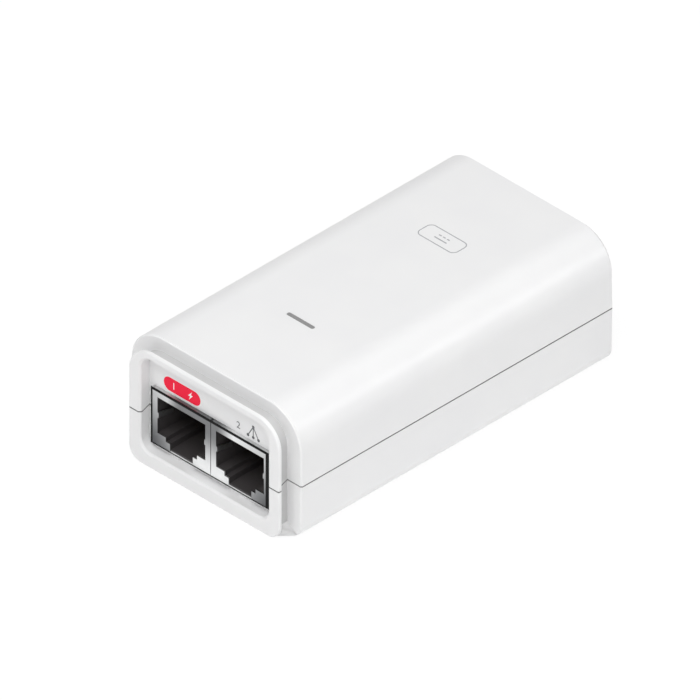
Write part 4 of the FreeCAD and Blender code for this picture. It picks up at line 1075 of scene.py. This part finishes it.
@dataclass
class CaseShells:
    """The two white shells, and the framed mark on top of the upper one."""

    mark_width: float = 10.4 * MM
    mark_height: float = 4.35 * MM
    mark_corner: float = 1.25 * MM
    mark_middle: Point = (0.0, 20.85 * MM)
    line: float = 0.22 * MM
    ink: float = 0.02 * MM
    bar_width: float = 3.3 * MM
    bar_gap: float = 0.55 * MM
    bar_line: float = 0.286 * MM
    dashes: int = 3
    dash_share: float = 0.62
    foot_radius: float = 3.2 * MM
    foot_height: float = 0.9 * MM
    foot_side: float = 19.6 * MM
    foot_rise: float = 3.0 * MM
    foot_steps: int = 8
    lip_inset: float = 2.9 * MM
    lip_back: float = 0.8 * MM
    ring_inset: float = 0.25 * MM
    ring_front: float = 3.4 * MM
    lap: float = 0.1 * MM

    def build(self) -> None:
        """Dress the shells and print the mark: a frame round a bar over dashes, for direct current."""
        dress(["top_cover", "bottom_case"], WHITE_ABS)
        for name, sign in (("bezel_foot_left", -1), ("bezel_foot_right", 1)):
            show(self.foot_mesh(name, sign), WHITE_ABS)
        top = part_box("top_cover")[1].z
        (x, y), half = self.mark_middle, self.bar_width / 2
        show(grown_mesh("mark_frame", frame_line_tree(), {
            "Width": self.mark_width, "Height": self.mark_height, "Corner": self.mark_corner,
            "Line": self.line, "Thickness": self.ink,
        }, turn=Matrix.Translation((x, y, top + self.ink / 2))), GREY_INK)
        pitch = self.bar_width / self.dashes
        show(grown_mesh("mark_dashes", dash_tree(), {
            "Count": self.dashes, "Pitch": pitch, "Dash": pitch * self.dash_share, "Line": self.bar_line,
            "Thickness": self.ink,
        }, turn=Matrix.Translation((x, y + self.bar_gap, top + self.ink / 2))), GREY_INK)
        bar = bar_outline((x - half, y - self.bar_gap), (x + half, y - self.bar_gap), self.bar_line)
        printed("mark_bar", Side.TOP, [bar], top, self.ink, GREY_INK)

    def foot_mesh(self, name: str, sign: int) -> Mesh:
        """What closes the groove behind the lip at a lower corner, from the lip's corner to the body's.

        Args:
            name: The mesh's name.
            sign: -1 for the left corner and 1 for the right one.

        Returns:
            The mesh, in place.
        """
        half, front = CAD_BOX[1].x, CAD_BOX[0].y
        made = bmesh.new()
        ends = ((self.lip_inset, front + self.lip_back - self.lap),
                (self.ring_inset, front + self.ring_front + self.lap))
        reach = math.acos(1 - self.foot_height / self.foot_radius)
        for inset, y in ends:
            centre = half - inset - self.foot_radius
            for i in range(self.foot_steps + 1):
                turn = reach * i / self.foot_steps
                made.verts.new((sign * (centre + self.foot_radius * math.sin(turn)), y,
                                self.foot_radius * (1 - math.cos(turn))))
            made.verts.new((sign * self.foot_side, y, self.foot_rise))
        bmesh.ops.convex_hull(made, input=made.verts)
        return closed_mesh(name, made, smooth_degrees=70.0)


@dataclass
class LightBar:
    """The smoked bar in the slot on top, and the lamp on the board under it."""

    def build(self) -> None:
        """Dress the bar and the lamp."""
        dress(["led_light_pipe"], LENS)
        dress(["status_led"], LAMP_EPOXY)


@dataclass
class SocketPair:
    """The two shielded sockets, the white seal round the pair, and a black frame of painted shadow on its
    face, round the shields.
    """

    names: tuple[str, str] = ("poe_port", "lan_port")
    # The black frame of painted shadow round the shields: its reach at the top, the right, the left and the
    # foot, and its thickness
    edge_top: float = 0.62 * MM
    edge_right: float = 0.9 * MM
    edge_lap: float = 0.4 * MM
    edge_foot: float = 0.22 * MM
    edge_sheet: float = 0.05 * MM
    seal_play: float = 0.02 * MM
    seal_depth: float = 1.5 * MM

    def build(self) -> None:
        """Dress each socket's sheet metal, mouldings and contact wires, then fit the seal and the black
        frame of painted shadow.
        """
        for name in self.names:
            dress([f"{name}_shield"], TINNED_STEEL)
            dress([f"{name}_housing", f"{name}_contact_carrier"], BLACK_NYLON)
            dress([f"{name}_contact_leads", f"{name}_contact_springs"], GOLD)
        boxes = [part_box(f"{name}_shield") for name in self.names]
        left, right = min(box[0].x for box in boxes), max(box[1].x for box in boxes)
        low, high = min(box[0].z for box in boxes), max(box[1].z for box in boxes)
        face = min(box[0].y for box in boxes)
        lap, play = self.edge_lap, self.seal_play
        # A black frame that paints the shadow in the gap round the shields' faces
        show(self.frame_mesh("socket_shadow_gap", (left, low, right - self.edge_right, high - self.edge_top),
                             (left - lap, low - self.edge_foot, right, high), face - self.edge_sheet, face),
             SHADOW_GAP_BLACK)
        panel = face + SOCKET_STAND
        show(self.frame_mesh("socket_seal", (left - play, low - play, right + play, high + play),
                             (left - lap + play, low - lap + play, right + lap - play, high + lap - play),
                             panel, panel + self.seal_depth), PLAIN_ABS)

    def frame_mesh(self, name: str, inner: Box, outer: Box, front: float, back: float) -> Mesh:
        """A flat rectangular frame that faces the plug.

        Args:
            name: The mesh's name.
            inner: Left, low, right and high of its opening.
            outer: The same of its outside.
            front: Where its face lies, along Y.
            back: Where its back lies.

        Returns:
            The mesh, in place.
        """
        made = bmesh.new()
        loops = [[made.verts.new((box[i], y, box[j])) for i, j in ((0, 1), (2, 1), (2, 3), (0, 3))]
                 for box in (inner, outer) for y in (front, back)]
        for one, other in ((0, 1), (1, 3), (3, 2), (2, 0)):
            for i in range(4):
                j = (i + 1) % 4
                made.faces.new((loops[one][i], loops[one][j], loops[other][j], loops[other][i]))
        return closed_mesh(name, made)


@dataclass
class PortMarks:
    """The prints over the sockets: a red pill over the powered one, plain grey over the other."""

    ink: float = 0.02 * MM
    pill_middle: Point = (-8.6 * MM, 20.2 * MM)
    pill_length: float = 10.1 * MM
    pill_height: float = 3.2 * MM
    pill_steps: int = 16
    numeral_height: float = 1.55 * MM
    first_numeral: Point = (-10.9 * MM, 20.2 * MM)
    bolt_middle: Point = (-6.3 * MM, 20.2 * MM)
    bolt_height: float = 2.1 * MM
    bolt_shape: tuple[Point, ...] = ((0.20, 0.50), (-0.30, -0.06), (-0.03, -0.06), (-0.20, -0.50),
                                     (0.30, 0.10), (0.03, 0.10))
    second_numeral: Point = (6.9 * MM, 19.9 * MM)
    tree_middle: Point = (11.0 * MM, 20.15 * MM)
    tree_width: float = 2.9 * MM
    tree_height: float = 2.5 * MM
    tree_line: float = 0.22 * MM
    tree_dot: float = 0.352 * MM
    line_share: float = 0.8

    def floor(self) -> float:
        """How far out the floor of the bezel's recess lies."""
        return -(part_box("poe_port_shield")[0].y + SOCKET_STAND)

    def build(self) -> None:
        """Print the pill with its numeral and bolt, then the other numeral and the branched lines."""
        low = self.floor()
        self.pill(low)
        over = low + self.ink
        show(numeral_mesh("pill_numeral", 1, self.numeral_height, Side.FRONT, self.first_numeral, over,
                          self.ink), WHITE_INK)
        self.bolt(over)
        show(numeral_mesh("second_numeral", 2, self.numeral_height, Side.FRONT, self.second_numeral, low,
                          self.ink), DARK_INK)
        self.branches(low)

    def pill(self, low: float) -> None:
        """The red ground with round ends.

        Args:
            low: How far out its underside lies.
        """
        radius = self.pill_height / 2
        reach = self.pill_length / 2 - radius
        outline = []
        for sign in (1, -1):
            for i in range(self.pill_steps + 1):
                turn = math.pi * (i / self.pill_steps - 0.5)
                outline.append((self.pill_middle[0] + sign * (reach + radius * math.cos(turn)),
                                self.pill_middle[1] + sign * radius * math.sin(turn)))
        printed("pill_ground", Side.FRONT, [outline], low, self.ink, RED_INK)

    def bolt(self, low: float) -> None:
        """A zigzag of six corners that says that this socket carries power.

        Args:
            low: How far out its underside lies.
        """
        outline = [(self.bolt_middle[0] + u * self.bolt_height, self.bolt_middle[1] + v * self.bolt_height)
                   for u, v in self.bolt_shape]
        printed("pill_bolt", Side.FRONT, [outline], low, self.ink, WHITE_INK)

    def branches(self, low: float) -> None:
        """A dot above three others, joined by lines, that says that this socket is for data.

        Args:
            low: How far out its underside lies.
        """
        x, z = self.tree_middle
        foot, head = z - self.tree_height / 2, z + self.tree_height / 2
        feet = [(x + step * self.tree_width / 2, foot) for step in (-1, 0, 1)]
        made = bmesh.new()
        for dot in [(x, head), *feet]:
            slab(made, Side.FRONT, disc_outline(dot, self.tree_dot), low, low + self.ink)
        for dot in feet:
            slab(made, Side.FRONT, bar_outline((x, head), dot, self.tree_line), low,
                 low + self.ink * self.line_share)
        show(closed_mesh("branch_mark", made), DARK_INK)


@dataclass
class MainsInlet:
    """The three-pin appliance inlet in the back wall."""

    def build(self) -> None:
        """Dress the moulding and its pins."""
        dress(["mains_inlet"], BLACK_PHENOLIC)
        dress(["inlet_pins"], NICKEL)


@dataclass
class Converter:
    """The board and what stands on it."""

    wire: float = 0.4 * MM
    turns: int = 11
    sweep: float = math.radians(104.0)
    loop: float = 4.4 * MM
    loop_corner: float = 1.1 * MM
    joint_radius: float = 0.85 * MM
    joint_height: float = 0.7 * MM
    lead: float = 0.3 * MM
    cans: tuple[str, ...] = ("output_capacitor_left", "output_capacitor_right", "bulk_capacitor")
    rim: float = 0.6 * MM
    rim_steps: int = 4
    crimp: float = 0.4 * MM
    crimp_steps: int = 6
    joint_spread: float = 0.25
    screw_round_mm: float = 0.3
    fuse_round_mm: float = 0.4
    dip_round_mm: float = 0.35
    soldered: tuple[str, ...] = ("inlet_pins", "bridge_rectifier", "switching_transistor",
                                 "output_capacitor_left", "output_capacitor_right", "bulk_capacitor",
                                 "x_capacitor", "varistor", "y_capacitor", "fuse")

    def build(self) -> None:
        """Dress the parts, round those that are dipped or moulded, and wind the choke."""
        dress(["circuit_board"], BOARD_LACQUER)
        dress(["transformer_core", "choke_core"], FERRITE)
        dress(["transformer_bobbin"], BOBBIN_POLYESTER)
        dress(["transformer_winding"], POLYESTER_TAPE)
        dress(["heat_sink"], ALUMINIUM)
        dress(["switching_transistor", "bridge_rectifier", "output_diode", "optocoupler"], MOULDED_EPOXY)
        dress(["x_capacitor"], YELLOW_BOX)
        show(softened_mesh("screw_rounded", "transistor_screw", self.screw_round_mm), ZINC_STEEL,
             ["transistor_screw"])
        show(softened_mesh("fuse_body", "fuse", self.fuse_round_mm), FUSE_BODY, ["fuse"])
        for node in ("varistor", "y_capacitor"):
            show(softened_mesh(f"{node}_dipped", node, self.dip_round_mm), DIPPED_EPOXY, [node])
        for node in self.cans:
            self.can(node)
        self.choke()
        self.joints()

    def can(self, node: str) -> None:
        """A sleeved aluminium can with a rolled top edge and a crimped groove near its foot.

        Args:
            node: The CAD node that it stands for.
        """
        low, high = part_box(node)
        radius, height = (high.x - low.x) / 2, high.z - low.z
        rim, crimp, steps = self.rim, self.crimp, self.crimp_steps
        profile = [(radius - crimp, 0.0), (radius, 0.3 * rim), (radius, 3 * crimp)]
        profile += [(radius - crimp * math.sin(math.pi * i / steps), 3 * crimp + crimp * 2 * i / steps)
                    for i in range(1, steps)]
        profile += [(radius, 5 * crimp), (radius, height - rim)]
        turns = [math.pi / 2 * i / self.rim_steps for i in range(1, self.rim_steps + 1)]
        profile += [(radius - rim * (1 - math.cos(t)), height - rim * (1 - math.sin(t))) for t in turns]
        profile += [(radius - 1.6 * rim, height - 0.2 * rim), (radius - 2.2 * rim, height - 0.3 * rim)]
        middle = ((low.x + high.x) / 2, (low.y + high.y) / 2)
        show(turned_mesh(f"{node}_sleeve", profile, middle, low.z), SHRINK_SLEEVE, [node])

    def choke(self) -> None:
        """Wind both halves of the ring core with enamelled wire."""
        low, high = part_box("choke_core")
        section = high.y - low.y
        place = Matrix.Translation((low + high) / 2) @ Matrix.Rotation(math.pi / 2, 4, "X")
        tree = winding_tree()
        made = bmesh.new()
        for start in (-self.sweep / 2, math.pi - self.sweep / 2):
            half = grown_mesh("choke_half", tree, {
                "Turns": self.turns, "Ring": (high.z - low.z - section) / 2, "Start": start,
                "Sweep": self.sweep, "Loop": self.loop, "Corner": self.loop_corner, "Wire": self.wire / 2,
            }, turn=place)
            made.from_mesh(half)
            bpy.data.meshes.remove(half)
        show(closed_mesh("choke_wire_turns", made, smooth_degrees=60.0), ENAMELLED_COPPER,
             ["choke_windings"])

    def joints(self) -> None:
        """Solder the leads of the larger parts under the board."""
        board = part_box("circuit_board")[0].z
        places = []
        for node in self.soldered:
            low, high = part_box(node)
            middle, reach = (low + high) / 2, (high - low) * self.joint_spread
            spread = Vector((reach.x, 0.0)) if reach.x > reach.y else Vector((0.0, reach.y))
            for sign in (-1, 1):
                places.append(Vector((*(middle.xy + sign * spread), board)))
        show(grown_mesh("solder_joints", solder_tree(), {
            "Radius": self.joint_radius, "Height": self.joint_height, "Lead": self.lead,
        }, places=places), SOLDER)


# Studio --------------------------------------------------------------------------------------------


@dataclass
class Lamp:
    """One soft area light."""

    name: str
    towards: Triple
    distance: float
    size: Point
    power: float

    def build(self, middle: Vector) -> None:
        """Hang the light.

        Args:
            middle: The point that it is turned to.
        """
        data = bpy.data.lights.new(self.name, "AREA")
        data.shape = "RECTANGLE"
        data.size, data.size_y = self.size
        data.energy = self.power
        lamp = put(self.name, data)
        away = Vector(self.towards).normalized()
        lamp.location = middle + away * self.distance
        lamp.rotation_mode = "QUATERNION"
        lamp.rotation_quaternion = (-away).to_track_quat("-Z", "Y")


@dataclass
class Studio:
    """The camera, the lights, a plain pale floor and white surroundings."""

    azimuth: float = 45.0
    elevation: float = 35.264
    aim: Triple = (-1.13 * MM, -3.5 * MM, 14.36 * MM)
    view_width: float = 136.5 * MM
    camera_distance: float = 0.6
    lit_point: Triple = (0.0, 0.0, 15 * MM)
    surroundings: float = 0.15
    floor_size: float = 2.0
    floor_drop: float = 0.05 * MM
    floor_glow: float = 1.04
    floor_share: float = 0.88

    def build(self) -> None:
        """Set the studio up round the object."""
        self.camera()
        self.white_surroundings()
        self.floor()
        for lamp in (
            Lamp("shoulder_light", towards=(0.75, 0.6, 0.42), distance=0.8, size=(0.25, 0.15), power=0.5),
            Lamp("top_light", towards=(0.1, 0.1, 1.0), distance=0.8, size=(0.7, 0.7), power=1.9),
            Lamp("front_top_light", towards=(0.3, -1.0, 1.9), distance=0.9, size=(0.5, 0.5), power=3.4),
            Lamp("front_fill", towards=(-0.4, -1.0, 0.3), distance=0.9, size=(0.6, 0.5), power=1.1),
            Lamp("corner_light", towards=(1.0, -0.7, 0.9), distance=0.9, size=(0.4, 0.5), power=1.2),
            Lamp("side_light", towards=(1.0, 0.1, 1.1), distance=0.9, size=(0.5, 0.7), power=1.3),
        ):
            lamp.build(Vector(self.lit_point))

    def camera(self) -> None:
        """Look along the object's diagonal without perspective."""
        data = bpy.data.cameras.new("camera")
        data.type = "ORTHO"
        data.ortho_scale = self.view_width
        data.clip_start, data.clip_end = 0.01, 10.0
        camera = put("camera", data)
        turn, rise = math.radians(self.azimuth), math.radians(self.elevation)
        back = Vector((math.sin(turn) * math.cos(rise), -math.cos(turn) * math.cos(rise), math.sin(rise)))
        camera.location = Vector(self.aim) + back * self.camera_distance
        camera.rotation_mode = "QUATERNION"
        camera.rotation_quaternion = (-back).to_track_quat("-Z", "Y")
        bpy.context.scene.camera = camera

    def straight_rays(self, tree: Tree) -> Node:
        """Tell rays that show what they meet from those that only carry light.

        Args:
            tree: The tree that asks.

        Returns:
            1 for rays from the camera, from a gloss or through a lens, and 0 for the rest.
        """
        seen = add(tree, "ShaderNodeLightPath").outputs
        some = add(tree, "ShaderNodeMath", {0: seen["Is Camera Ray"], 1: seen["Is Glossy Ray"]},
                   operation="MAXIMUM")
        return add(tree, "ShaderNodeMath", {0: some, 1: seen["Is Transmission Ray"]}, operation="MAXIMUM")

    def white_surroundings(self) -> None:
        """White where it is seen, and plain soft light elsewhere."""
        world = bpy.data.worlds.new("surroundings")
        bpy.context.scene.world = world
        tree = empty_tree(world)
        light, white = [add(tree, "ShaderNodeBackground", {"Color": linear("#FFFFFF"), "Strength": strength})
                        for strength in (self.surroundings, 1.0)]
        both = add(tree, "ShaderNodeMixShader", {0: self.straight_rays(tree), 1: light, 2: white})
        add(tree, "ShaderNodeOutputWorld", {"Surface": both})

    def floor(self) -> None:
        """A pale floor that is white where it is seen, and keeps a soft shadow."""
        half = self.floor_size / 2
        mesh = bpy.data.meshes.new("floor")
        mesh.from_pydata([(-half, -half, 0.0), (half, -half, 0.0), (half, half, 0.0), (-half, half, 0.0)],
                         [], [(0, 1, 2, 3)])
        material = bpy.data.materials.new("pale_floor")
        tree = empty_tree(material)
        paper = add(tree, "ShaderNodeBsdfDiffuse", {"Color": linear("#FDFDFD")})
        white = add(tree, "ShaderNodeEmission", {"Color": linear("#FFFFFF"), "Strength": self.floor_glow})
        share = add(tree, "ShaderNodeMath", {0: self.straight_rays(tree), 1: self.floor_share},
                    operation="MULTIPLY")
        both = add(tree, "ShaderNodeMixShader", {0: share, 1: paper, 2: white})
        add(tree, "ShaderNodeOutputMaterial", {"Surface": both})
        mesh.materials.append(material)
        floor = put("floor", mesh)
        floor.location.z = -self.floor_drop


def main() -> None:
    """Build every sub-assembly's looks, then the studio."""
    logging.basicConfig(level=logging.INFO, format="%(message)s")
    bpy.context.scene.view_settings.view_transform = "Standard"
    for assembly in (CaseShells(), LightBar(), SocketPair(), PortMarks(), MainsInlet(), Converter()):
        log.info("building %s", type(assembly).__name__)
        assembly.build()
    Studio().build()


if __name__ == "__main__":
    main()
